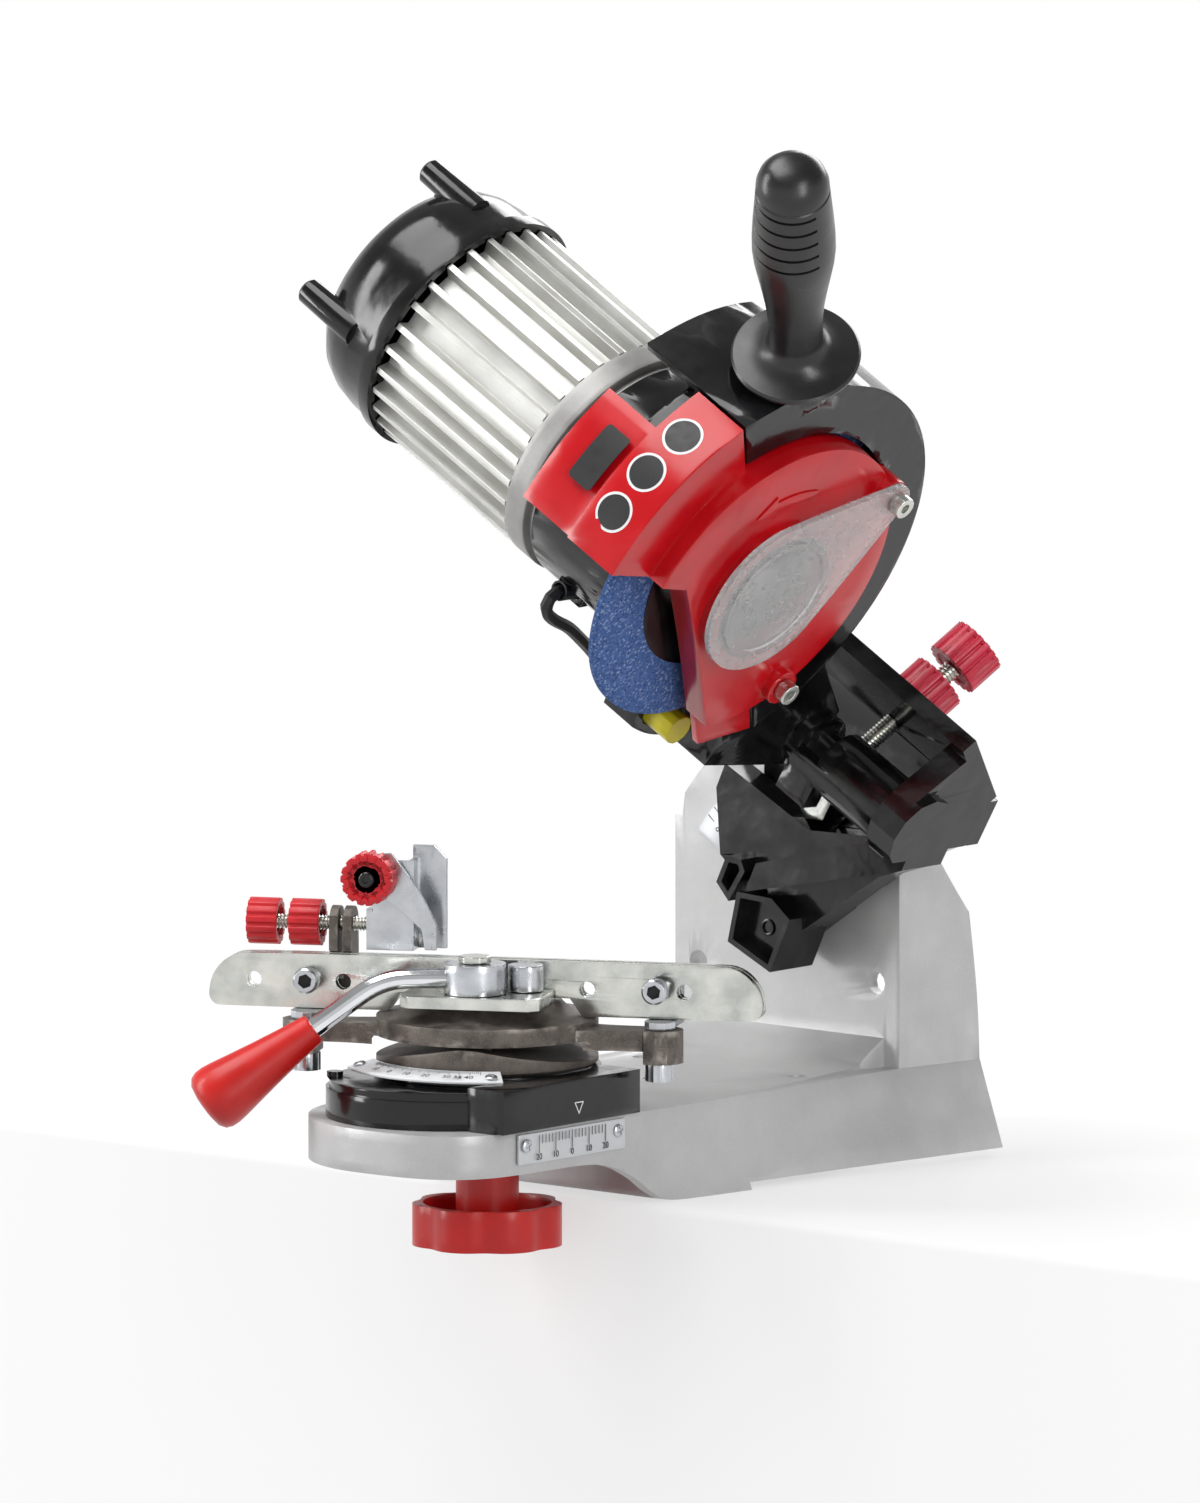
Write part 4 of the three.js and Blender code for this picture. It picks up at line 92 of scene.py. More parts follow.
# Axes of the parts that lean, each as a matrix from its own millimetres to the frame
layout = {
    "viseToFoot": 115,
    "chainLine": 96,
    "viseTurn": 28,
    "headTilt": 30,
    "wheelBack": 37,
    "wheelUp": 186.5,
}
toBase = Matrix.Translation((0, -layout["viseToFoot"] * mm, 0))
toVise = toBase @ Matrix.Rotation(math.radians(layout["viseTurn"]), 4, "Z")
toTilt = toBase @ Matrix.Translation((0, 0, layout["chainLine"] * mm))
toTilt = toTilt @ Matrix.Rotation(math.radians(layout["headTilt"]), 4, "Y")
toHead = toTilt @ Matrix.Translation((0, layout["wheelBack"] * mm, layout["wheelUp"] * mm))


def linear(hexColour):
    channels = [int(hexColour[i:i + 2], 16) / 255 for i in (1, 3, 5)]
    return [c / 12.92 if c <= 0.04045 else ((c + 0.055) / 1.055) ** 2.4 for c in channels] + [1]


def addNode(tree, kind, links, **settings):
    # adds one node; each link is a number or colour to set, or an output to join
    node = tree.nodes.new("ShaderNode" + kind)
    for key, value in settings.items():
        setattr(node, key, value)
    for key, value in links.items():
        if isinstance(value, bpy.types.NodeSocket):
            tree.links.new(value, node.inputs[key])
        else:
            node.inputs[key].default_value = value
    return node


def newMaterial(name):
    material = bpy.data.materials.new(name)
    material.use_nodes = True
    tree = material.node_tree
    return material, tree, tree.nodes["Principled BSDF"]


# Cast, plated, painted and moulded surfaces share one build: cloudy tone, fine grit, worn edges
def makeSurface(name, look):
    material, tree, shader = newMaterial(name)
    spot = addNode(tree, "TexCoord", {}).outputs["Object"]
    run = addNode(tree, "Mapping", {"Vector": spot, "Scale": look.get("stretch", (1, 1, 1)),
                                    "Rotation": look.get("turn", (0, 0, 0))}).outputs["Vector"]
    cloud = addNode(tree, "TexNoise", {"Vector": spot, "Scale": 1 / (look["cloud"] * mm), "Detail": 4.0})
    grit = addNode(tree, "TexNoise", {"Vector": run, "Scale": 1 / (look["grit"] * mm), "Detail": 3.0,
                                      "Roughness": look.get("broken", 0.6)})
    patches = addNode(tree, "MapRange", {"Value": cloud.outputs["Fac"], 1: 0.34, 2: 0.66})
    tone = addNode(tree, "Mix", {0: patches.outputs[0], 6: linear(look["shade"]),
                                 7: linear(look["colour"])}, data_type="RGBA")
    specks = addNode(tree, "MapRange", {"Value": grit.outputs["Fac"], 1: 0.5, 2: 0.8,
                                        4: look.get("speck", 0.12)})
    flecked = addNode(tree, "Mix", {0: specks.outputs[0], 6: tone.outputs[2],
                                    7: linear(look.get("fleck", look["shade"]))}, data_type="RGBA")
    bend = addNode(tree, "NewGeometry", {}).outputs["Pointiness"]
    edge = addNode(tree, "MapRange", {"Value": bend, 1: 0.52, 2: 0.62, 4: look.get("wear", 0.25)})
    rub = addNode(tree, "Math", {0: edge.outputs[0], 1: patches.outputs[0]}, operation="MULTIPLY")
    worn = addNode(tree, "Mix", {0: rub.outputs[0], 6: flecked.outputs[2],
                                 7: linear(look.get("edge", look["colour"]))}, data_type="RGBA")
    tree.links.new(worn.outputs[2], shader.inputs["Base Color"])
    smear = addNode(tree, "MapRange", {"Value": cloud.outputs["Fac"], 1: 0.3, 2: 0.7,
                                       3: look["rough"][0], 4: look["rough"][1]})
    tree.links.new(smear.outputs[0], shader.inputs["Roughness"])
    waves = addNode(tree, "TexNoise", {"Vector": spot, "Scale": 1 / (look.get("wave", 6) * mm),
                                       "Detail": 1.0})
    swell = addNode(tree, "Bump", {"Height": waves.outputs["Fac"],
                                   "Distance": look.get("swell", 0.02) * mm})
    fine = addNode(tree, "Bump", {"Height": grit.outputs["Fac"], "Distance": look["bump"] * mm,
                                  "Normal": swell.outputs[0]})
    tree.links.new(fine.outputs[0], shader.inputs["Normal"])
    shader.inputs["Metallic"].default_value = look.get("metallic", 0.0)
    if not look.get("metallic"):
        shader.inputs["IOR"].default_value = look.get("ior", 1.5)
    return material


def makeAbrasive(name, look):
    # blue vitrified grit: every grain its own tone, a few pale ones, dull and open
    material, tree, shader = newMaterial(name)
    spot = addNode(tree, "TexCoord", {}).outputs["Object"]
    cells = addNode(tree, "TexVoronoi", {"Vector": spot, "Scale": 1 / (look["grain"] * mm)})
    pick = addNode(tree, "SeparateColor", {"Color": cells.outputs["Color"]})
    tone = addNode(tree, "ValToRGB", {"Fac": pick.outputs[0]})
    stops = tone.color_ramp.elements
    stops[0].color = linear(look["dark"])
    stops[1].color = linear(look["pale"])
    for place, colour in ((0.3, look["colour"]), (0.8, look["bright"])):
        stops.new(place).color = linear(colour)
    dust = addNode(tree, "TexNoise", {"Vector": spot, "Scale": 1 / (14 * mm), "Detail": 4.0})
    veil = addNode(tree, "MapRange", {"Value": dust.outputs["Fac"], 1: 0.4, 2: 0.75, 4: 0.3})
    dusty = addNode(tree, "Mix", {0: veil.outputs[0], 6: tone.outputs[0], 7: linear(look["colour"])},
                    data_type="RGBA")
    tree.links.new(dusty.outputs[2], shader.inputs["Base Color"])
    relief = addNode(tree, "Bump", {"Height": cells.outputs["Distance"], "Distance": look["bump"] * mm})
    tree.links.new(relief.outputs[0], shader.inputs["Normal"])
    shader.inputs["Roughness"].default_value = 0.9
    shader.inputs["IOR"].default_value = 1.5
    return material


def makeClearPlastic(name, look):
    # acrylic shield that grinding dust has dulled: clear in the middle, milky where it is scoured
    material, tree, shader = newMaterial(name)
    spot = addNode(tree, "TexCoord", {}).outputs["Object"]
    dust = addNode(tree, "TexNoise", {"Vector": spot, "Scale": 1 / (look["cloud"] * mm), "Detail": 5.0})
    milky = addNode(tree, "Mix", {0: dust.outputs["Fac"], 6: linear(look["colour"]),
                                  7: linear(look["shade"])}, data_type="RGBA")
    tree.links.new(milky.outputs[2], shader.inputs["Base Color"])
    haze = addNode(tree, "MapRange", {"Value": dust.outputs["Fac"],
                                      3: look["rough"][0], 4: look["rough"][1]})
    tree.links.new(haze.outputs[0], shader.inputs["Roughness"])
    fine = addNode(tree, "TexNoise", {"Vector": spot, "Scale": 1 / (look["grit"] * mm), "Detail": 2.0})
    scratch = addNode(tree, "Bump", {"Height": fine.outputs["Fac"], "Distance": look["bump"] * mm})
    tree.links.new(scratch.outputs[0], shader.inputs["Normal"])
    shader.inputs["Transmission Weight"].default_value = look["clear"]
    shader.inputs["IOR"].default_value = 1.49
    return material


alongMotor = (0, -math.radians(layout["headTilt"]), 0)
finishes = {
    # silver paint sprayed on sand-cast aluminium: a fine metal flake over soft casting waves
    "silverPaint": makeSurface("silverPaintOnCasting", {
        "colour": "#c3c3c3", "shade": "#b9b9b9", "fleck": "#dbdbdb", "speck": 0.5, "cloud": 22,
        "grit": 0.45, "rough": (0.36, 0.46), "bump": 0.03, "wave": 7, "swell": 0.12, "metallic": 0.3,
        "wear": 0.3, "edge": "#d7d8da"}),
    # stoved gloss black on a casting: deep black, orange peel a couple of millimetres across
    "blackEnamel": makeSurface("stovedBlackEnamel", {
        "colour": "#111113", "shade": "#0b0b0c", "cloud": 12, "grit": 1.6, "rough": (0.1, 0.2),
        "bump": 0.015, "wave": 7, "swell": 0.12, "ior": 1.46, "edge": "#3b3b3d", "wear": 0.2}),
    # gloss red enamel on pressed and cast metal: smooth, a little thinner on the edges
    "redEnamel": makeSurface("glossRedEnamel", {
        "colour": "#cb0f1a", "shade": "#bd0b15", "cloud": 20, "grit": 2.2, "rough": (0.16, 0.26),
        "bump": 0.01, "wave": 8, "swell": 0.05, "ior": 1.46, "edge": "#dd3a40", "wear": 0.2}),
    # bare grey iron as it left the sand and the tumbler: dark, warm and grainy, edges rubbed bright
    "bareIron": makeSurface("bareIronCasting", {
        "colour": "#716a64", "shade": "#544e49", "fleck": "#97908a", "speck": 0.5, "cloud": 6, "grit": 0.7,
        "broken": 0.75, "rough": (0.42, 0.6), "bump": 0.14, "swell": 0.1, "metallic": 0.7, "wear": 0.8,
        "edge": "#b1aaa1"}),
    # yellow-passivated zinc on pressed steel: pale, cloudy, slightly straw coloured
    "zinc": makeSurface("yellowZincPlate", {
        "colour": "#dcddd8", "shade": "#b6b9b6", "fleck": "#dacf98", "speck": 0.35, "cloud": 11,
        "grit": 0.7, "rough": (0.14, 0.36), "bump": 0.012, "wave": 12, "swell": 0.08, "metallic": 1.0,
        "edge": "#f2f1ea"}),
    # turned and ground steel: cool grey with fine tool marks
    "steel": makeSurface("turnedSteel", {
        "colour": "#c6c9cd", "shade": "#b3b6ba", "cloud": 9, "grit": 0.5, "stretch": (1, 1, 0.2),
        "rough": (0.2, 0.36), "bump": 0.015, "metallic": 1.0, "edge": "#e2e4e6"}),
    # polished chromium on the lever rod: near mirror, hardly any tone
    "chrome": makeSurface("polishedChrome", {
        "colour": "#eceef0", "shade": "#dfe1e4", "cloud": 18, "grit": 1.2, "rough": (0.06, 0.14),
        "bump": 0.004, "metallic": 1.0}),
    # oiled spring wire: brassy brown skin from the drawing bench
    "springWire": makeSurface("oiledSpringWire", {
        "colour": "#a08a52", "shade": "#7c6a40", "cloud": 5, "grit": 0.5, "rough": (0.28, 0.42),
        "bump": 0.01, "metallic": 1.0}),
    # screen-printed aluminium scale plate: satin, even, a touch darker than the paint round it
    "scalePlate": makeSurface("satinScalePlate", {
        "colour": "#d3d5d7", "shade": "#cacccf", "cloud": 20, "grit": 0.5, "stretch": (0.15, 1, 1),
        "rough": (0.38, 0.5), "bump": 0.01, "metallic": 0.5}),
    # white painted arc plate: clean satin white, dull where fingers turn it
    "whitePlate": makeSurface("whitePaintedPlate", {
        "colour": "#e9eaec", "shade": "#dfe1e3", "cloud": 16, "grit": 0.6, "rough": (0.34, 0.46),
        "bump": 0.01}),
    # moulded red nylon knobs: even colour, spark-eroded skin with a soft shine
    "redPlastic": makeSurface("mouldedRedNylon", {
        "colour": "#d01522", "shade": "#bf111d", "cloud": 14, "grit": 0.5, "rough": (0.32, 0.46),
        "bump": 0.035, "ior": 1.53, "edge": "#e03f4a", "wear": 0.3}),
    # orange-red cellulose grip of the lever and the big knob: smooth moulding, broad soft shine
    "gripPlastic": makeSurface("mouldedSignalRedGrip", {
        "colour": "#d61d17", "shade": "#c61812", "cloud": 18, "grit": 0.7, "rough": (0.28, 0.4),
        "bump": 0.02, "ior": 1.5, "edge": "#f0574e", "wear": 0.25}),
    # cooler red of the rear knobs: same nylon, another batch
    "crimson": makeSurface("mouldedCrimsonNylon", {
        "colour": "#cc0f38", "shade": "#b90c30", "cloud": 14, "grit": 0.5, "rough": (0.28, 0.42),
        "bump": 0.03, "ior": 1.53, "edge": "#e6446a", "wear": 0.35}),
    # black moulded nylon of the handle: leathery grain that scatters the highlight
    "blackPlastic": makeSurface("mouldedBlackNylon", {
        "colour": "#171719", "shade": "#101012", "cloud": 14, "grit": 0.7, "rough": (0.26, 0.38),
        "bump": 0.04, "ior": 1.53, "edge": "#3b3b3d", "wear": 0.3}),
    # yellow translucent-looking lamp housing: plain ABS, dusty
    "yellowPlastic": makeSurface("mouldedYellowAbs", {
        "colour": "#dccf22", "shade": "#cdbf1a", "cloud": 10, "grit": 0.6, "rough": (0.3, 0.44),
        "bump": 0.02, "ior": 1.53}),
    # black rubber of the lead and its sleeve: dull with a faint bloom
    "rubber": makeSurface("blackRubber", {
        "colour": "#1b1b1c", "shade": "#131314", "fleck": "#343435", "cloud": 9, "grit": 0.5,
        "rough": (0.5, 0.66), "bump": 0.03, "ior": 1.52}),
    # extruded aluminium left bare: die lines along the fins, bright on the ridges
    "extruded": makeSurface("bareExtrudedAluminium", {
        "colour": "#dcdcd9", "shade": "#cfcfcb", "cloud": 18, "grit": 1.1, "stretch": (0.04, 1, 1),
        "turn": alongMotor, "rough": (0.42, 0.52), "bump": 0.02, "metallic": 0.85, "edge": "#f0f0ee"}),
    # bare die casting of the motor flange: even grey, fine skin
    "greyCasting": makeSurface("bareDieCasting", {
        "colour": "#aaa9a7", "shade": "#9b9a98", "cloud": 9, "grit": 0.7, "broken": 0.7,
        "rough": (0.42, 0.58), "bump": 0.08, "metallic": 0.6, "wear": 0.5, "edge": "#cfcbc3"}),
    # lacquered copper windings: brown, streaked along the wire
    "windings": makeSurface("lacqueredCopperWire", {
        "colour": "#b2703f", "shade": "#8c5230", "cloud": 6, "grit": 0.8, "stretch": (1, 0.1, 1),
        "rough": (0.32, 0.46), "bump": 0.1, "metallic": 0.8}),
    # black and white printing ink: thin, slightly worn
    "blackInk": makeSurface("blackPrintingInk", {
        "colour": "#1b1b1d", "shade": "#242426", "cloud": 4, "grit": 0.5, "rough": (0.36, 0.5),
        "bump": 0.005}),
    "whiteInk": makeSurface("whitePrintingInk", {
        "colour": "#eeeff0", "shade": "#e2e3e4", "cloud": 4, "grit": 0.5, "rough": (0.36, 0.5),
        "bump": 0.005}),
    # vitrified abrasive of the wheel: dull blue, each grain with its own tone
    "abrasive": makeAbrasive("blueVitrifiedAbrasive", {
        "colour": "#3f5f9b", "dark": "#2b4477", "bright": "#4d6fae", "pale": "#93a9cf", "grain": 0.9,
        "bump": 0.4}),
    # acrylic of the lens cover: hazy from dust, so that the guard's red only glows through
    "clear": makeClearPlastic("dulledClearAcrylic", {
        "colour": "#f4f4f4", "shade": "#e9eaea", "cloud": 9, "grit": 0.6, "rough": (0.16, 0.36),
        "bump": 0.01, "clear": 0.76}),
}
print("materials made:", len(finishes))


def only(piece):
    bpy.ops.object.select_all(action="DESELECT")
    piece.select_set(True)
    bpy.context.view_layer.objects.active = piece


def editing(piece, mode="VERT"):
    # into edit mode with nothing selected
    only(piece)
    bpy.ops.object.mode_set(mode="EDIT")
    bpy.ops.mesh.select_mode(type=mode)
    bpy.ops.mesh.select_all(action="DESELECT")


def done():
    bpy.ops.object.mode_set(mode="OBJECT")


def facedOut():
    # turns every face outwards and leaves edit mode
    bpy.ops.mesh.select_all(action="SELECT")
    bpy.ops.mesh.normals_make_consistent(inside=False)
    done()


def finished(piece, kind, **settings):
    # adds one modifier and applies it
    only(piece)
    extra = piece.modifiers.new(kind.lower(), kind)
    for key, value in settings.items():
        setattr(extra, key, value)
    bpy.ops.object.modifier_apply(modifier=extra.name)


def picked(piece, test):
    # into edit mode with only the faces that pass the test selected
    editing(piece, "FACE")
    done()
    for face in piece.data.polygons:
        face.select = test(face)
    bpy.ops.object.mode_set(mode="EDIT")


def eased(piece, width, segments=2, angle=28, flat=False):
    finished(piece, "BEVEL", width=width * mm, segments=segments, limit_method="ANGLE",
             angle_limit=math.radians(angle), miter_outer="MITER_ARC")
    only(piece)
    bpy.ops.object.shade_smooth_by_angle(angle=math.radians(35))
    if flat:  # large faces keep their own direction beside their eased edges
        finished(piece, "WEIGHTED_NORMAL", keep_sharp=True)


def settled(piece, place):
    # the piece's place goes into its mesh, and its object to the origin
    piece.matrix_world = place @ piece.matrix_world
    only(piece)
    bpy.ops.object.transform_apply(location=True, rotation=True, scale=True)


def handedOver(piece, name, finish, body, *replaced):
    piece.name = name
    piece.data.name = name
    piece.data.materials.clear()
    piece.data.materials.append(finishes[finish])
    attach(piece, body)
    if replaced:
        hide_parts(*replaced)
    return piece


def looseCopy(node):
    # a copy of a CAD piece with its own merged mesh
    piece = nodes[node].copy()
    piece.data = nodes[node].data.copy()
    bpy.context.scene.collection.objects.link(piece)
    piece.parent = None
    piece.matrix_world = Matrix.Identity(4)
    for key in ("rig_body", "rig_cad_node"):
        if key in piece:
            del piece[key]
    editing(piece)
    bpy.ops.mesh.select_all(action="SELECT")
    bpy.ops.mesh.remove_doubles(threshold=0.02 * mm)
    done()
    return piece


def dressed(node, finish, ease=0.5, sharp=28):
    # the CAD shape with round arcs in place of facets, and every edge eased
    piece = looseCopy(node)
    editing(piece)
    bpy.ops.mesh.select_all(action="SELECT")
    bpy.ops.mesh.tris_convert_to_quads(face_threshold=math.radians(1), shape_threshold=math.pi)
    bpy.ops.mesh.select_mode(type="EDGE")
    bpy.ops.mesh.select_all(action="DESELECT")
    bpy.ops.mesh.edges_select_sharp(sharpness=math.radians(sharp))
    bpy.ops.transform.edge_crease(value=1)
    done()
    finished(piece, "SUBSURF", levels=2, render_levels=2)
    eased(piece, ease)
    return handedOver(piece, node + "_dressed", finish, nodes[node]["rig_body"], node)


# Every CAD piece with its finish, how far its edges are eased in millimetres, and where it is not
# the usual one, the angle in degrees past which an edge counts as sharp
dressing = {
    "base_casting": ("silverPaint", 1.1), "slide_scale": ("scalePlate", 0.2),
    "tilt_scale": ("scalePlate", 0.2), "tilt_pivot_bolt": ("zinc", 0.4),
    "slide_plate": ("blackEnamel", 0.8, 34), "angle_scale": ("whitePlate", 0.2),
    "clamp_stud": ("steel", 0.3), "clamp_knob": ("gripPlastic", 1.6, 50), "rotary_seat": ("bareIron", 0.5),
    "vise_casting": ("bareIron", 0.7), "clamp_plate": ("zinc", 0.5), "fixed_rail": ("zinc", 0.4),
    "rail_post_left": ("steel", 0.5), "rail_post_right": ("steel", 0.5), "rail_screw_left": ("steel", 0.3),
    "rail_screw_right": ("steel", 0.3), "cam_bolt": ("zinc", 0.4), "stop_bracket": ("bareIron", 0.6),
    "thumb_nut_left": ("steel", 0.3), "thumb_nut_right": ("steel", 0.3), "movable_rail": ("zinc", 0.4),
    "rail_pusher": ("steel", 0.5), "cam_hub": ("steel", 0.6), "lever_rod": ("chrome", 0.4),
    "lever_grip": ("gripPlastic", 0.6), "stop_carrier": ("steel", 0.3), "stop_screw": ("zinc", 0.3),
    "stop_lock_knob": ("redPlastic", 0.4), "stop_pawl": ("zinc", 0.3), "pawl_knob": ("redPlastic", 0.4),
    "tilt_bracket": ("blackEnamel", 0.9), "tilt_clamp_bolt": ("zinc", 0.5), "swing_pivot_pin": ("zinc", 0.4),
    "torsion_spring": ("springWire", 0.1), "tilt_knob": ("crimson", 0.8), "depth_screw": ("zinc", 0.3),
    "depth_lock_knob": ("crimson", 0.4), "head_casting": ("blackEnamel", 0.9),
    "motor_flange": ("greyCasting", 0.6),
    "motor_body": ("extruded", 0.3), "motor_cap": ("blackEnamel", 0.9), "stator": ("windings", 0.3),
    "front_bearing": ("steel", 0.3), "rear_bearing": ("steel", 0.3), "front_guard": ("redEnamel", 0.6),
    "lens_cover": ("clear", 0.4), "lens_screw": ("zinc", 0.2), "guard_screw": ("zinc", 0.2),
    "handle_grip": ("blackPlastic", 0.6), "lamp": ("yellowPlastic", 0.6), "lamp_lead": ("rubber", 0.2),
    "lead_sleeve": ("rubber", 0.5), "switch_body": ("blackPlastic", 0.6),
    "switch_rocker": ("redPlastic", 0.5),
    "grinding_wheel": ("abrasive", 0.4), "wheel_flange_inner": ("blackEnamel", 0.5),
    "wheel_flange_outer": ("blackEnamel", 0.5), "wheel_nut": ("zinc", 0.4), "motor_shaft": ("steel", 0.3),
    "cooling_fan": ("blackPlastic", 0.3),
}
# the CAD pieces that get a shape of their own instead
ownShape = set()


def turned(profile, steps=72):
    # spins a closed ring of (radius, height) points about Z
    bpy.ops.object.select_all(action="DESELECT")
    bpy.ops.mesh.primitive_circle_add(vertices=len(profile), fill_type="NOTHING")
    piece = bpy.context.active_object
    for corner, (radius, height) in zip(piece.data.vertices, profile):
        corner.co = (radius * mm, 0, height * mm)
    editing(piece)
    bpy.ops.mesh.select_all(action="SELECT")
    bpy.ops.mesh.spin(steps=steps, angle=2 * math.pi, center=(0, 0, 0), axis=(0, 0, 1))
    bpy.ops.mesh.select_all(action="SELECT")
    bpy.ops.mesh.remove_doubles(threshold=0.004 * mm)
    bpy.ops.mesh.dissolve_degenerate(threshold=0.001 * mm)
    facedOut()
    return piece


def outlined(points, low, high):
    # a plate with these corners, extruded from low to high
    bpy.ops.object.select_all(action="DESELECT")
    bpy.ops.mesh.primitive_circle_add(vertices=len(points), fill_type="NGON")
    piece = bpy.context.active_object
    for corner, (x, y) in zip(piece.data.vertices, points):
        corner.co = (x * mm, y * mm, low * mm)
    editing(piece)
    bpy.ops.mesh.select_all(action="SELECT")
    bpy.ops.mesh.extrude_region_move(TRANSFORM_OT_translate={"value": (0, 0, (high - low) * mm)})
    facedOut()
    return piece


def joined(pieces):
    bpy.ops.object.select_all(action="DESELECT")
    for piece in pieces:
        piece.select_set(True)
    bpy.context.view_layer.objects.active = pieces[0]
    bpy.ops.object.join()
    return pieces[0]


def along(axis, place, roll=0):
    # a matrix that lays a piece's own Z along an axis of the frame it is given
    turn = Vector(axis).to_track_quat("Z", "Y").to_matrix().to_4x4()
    return Matrix.Translation(Vector(place) * mm) @ turn @ Matrix.Rotation(math.radians(roll), 4, "Z")


# Two matrices that recur: a flat piece stood up to face the front, and one stood up to face right
upended = Matrix(((1, 0, 0, 0), (0, 0, -1, 0), (0, 1, 0, 0), (0, 0, 0, 1)))


def facingRight(x, y=0, z=0):
    return Matrix(((0, 0, 1, x * mm), (1, 0, 0, y * mm), (0, 1, 0, z * mm), (0, 0, 0, 1)))


# Ribbed knobs of moulded nylon with a sunk face: six points to a rib, of which two lie in its groove
knobs = {
    "stopScrewKnob": {"radius": 9.2, "thick": 12, "ribs": 14, "deep": 0.9, "sunk": 1.2,
                      "finish": "redPlastic", "body": "stop_screw", "frame": toVise,
                      "place": (-97.5, 10, 106.5), "axis": (1, 0, 0), "replaces": ("stop_screw",)},
    "stopLockKnob": {"radius": 9.2, "thick": 12, "ribs": 14, "deep": 0.9, "sunk": 1.0,
                     "finish": "redPlastic", "body": "stop_lock", "frame": toVise,
                     "place": (-80.5, 10, 106.5), "axis": (1, 0, 0), "replaces": ("stop_lock_knob",)},
    "depthKnob": {"radius": 12, "thick": 15, "ribs": 18, "deep": 1.0, "sunk": 1.2,
                  "finish": "crimson", "body": "depth_screw", "frame": toTilt, "replaces": ("depth_screw",)},
    "depthLockKnob": {"radius": 12, "thick": 15, "ribs": 18, "deep": 1.0, "sunk": 1.0,
                      "finish": "crimson", "body": "depth_lock", "frame": toTilt,
                      "replaces": ("depth_lock_knob",)},
}
knobShape = {"perRib": 6, "rim": 0.22, "sunkRim": 0.2, "rise": 0.6, "rearRim": 0.25, "rearSunk": 0.5,
             "wall": 0.25, "ease": 0.45}


def ribbedKnob(look):
    # built standing on its lower face, its upper face sunk; ribs stand between cut grooves
    shape = knobShape
    sides = look["ribs"] * shape["perRib"]
    bpy.ops.object.select_all(action="DESELECT")
    bpy.ops.mesh.primitive_cylinder_add(vertices=sides, radius=look["radius"] * mm, depth=look["thick"] * mm,
                                        location=(0, 0, look["thick"] / 2 * mm))
    piece = bpy.context.active_object
    bpy.ops.object.transform_apply(location=True, rotation=True, scale=True)
    editing(piece)
    done()
    for corner in piece.data.vertices:
        side = round(math.atan2(corner.co.y, corner.co.x) / (2 * math.pi) * sides) % shape["perRib"]
        corner.select = side in (0, 1)
    bpy.ops.object.mode_set(mode="EDIT")
    shrink = (look["radius"] - look["deep"]) / look["radius"]
    bpy.ops.transform.resize(value=(shrink, shrink, 1), center_override=(0, 0, 0))
    done()
    top = look["thick"] * mm
    front = ((look["radius"] * shape["rim"], -look["sunk"]), (look["radius"] * shape["sunkRim"], shape["rise"]))
    rear = ((look["radius"] * shape["rearRim"], -shape["rearSunk"]),)
    for end, level, steps in ((1, top, front), (-1, 0, rear)):
        picked(piece, lambda face: face.normal.z * end > 0.9 and abs(face.center.z - level) < 0.01 * mm)
        for width, rise in steps:
            bpy.ops.mesh.inset(thickness=width * mm, depth=0, use_even_offset=False)
            bpy.ops.mesh.inset(thickness=shape["wall"] * mm, depth=rise * mm, use_even_offset=False)
        done()
    eased(piece, shape["ease"])
    return piece


thread = {"deep": 0.55, "foot": 0.02, "steps": 20, "core": 24, "point": 0.7, "pointLong": 0.8}


def threadedRod(radius, pitch, length):
    # a helix of one tooth by the Screw modifier round a plain core
    deep = pitch * thread["deep"]
    bpy.ops.object.select_all(action="DESELECT")
    bpy.ops.mesh.primitive_circle_add(vertices=3, fill_type="NOTHING")
    tooth = bpy.context.active_object
    places = ((radius - deep, thread["foot"]), (radius, pitch / 2), (radius - deep, pitch * 0.98))
    for corner, (r, z) in zip(tooth.data.vertices, places):
        corner.co = (r * mm, 0, z * mm)
    finished(tooth, "SCREW", axis="Z", angle=2 * math.pi, screw_offset=pitch * mm,
             iterations=int(length / pitch) - 1, steps=thread["steps"], render_steps=thread["steps"])
    editing(tooth)
    bpy.ops.mesh.select_all(action="SELECT")
    bpy.ops.mesh.remove_doubles(threshold=0.005 * mm)
    bpy.ops.mesh.fill_holes(sides=0)
    facedOut()
    core = turned([(0, 0), (radius - deep, 0), (radius - deep + 0.05, length - thread["pointLong"]),
                   (radius - deep - thread["point"], length), (0, length)], thread["core"])
    piece = joined([core, tooth])
    only(piece)
    bpy.ops.object.shade_smooth_by_angle(angle=math.radians(40))
    return piece


# Depth screw: from its tip in front of the bracket up to the outer knob, leaning back by 45 degrees
depth = {"across": 16, "tip": (145, 79), "lean": 45, "knobAt": 66, "lockAt": 44, "radius": 4, "pitch": 1.5,
         "length": 70}
stopThread = {"radius": 3, "pitch": 1.25, "length": 52, "place": (-97, 10, 106.5)}
leanAxis = (0, math.cos(math.radians(depth["lean"])), math.sin(math.radians(depth["lean"])))


def depthPoint(run):
    return (depth["across"], depth["tip"][0] + leanAxis[1] * run, depth["tip"][1] + leanAxis[2] * run)


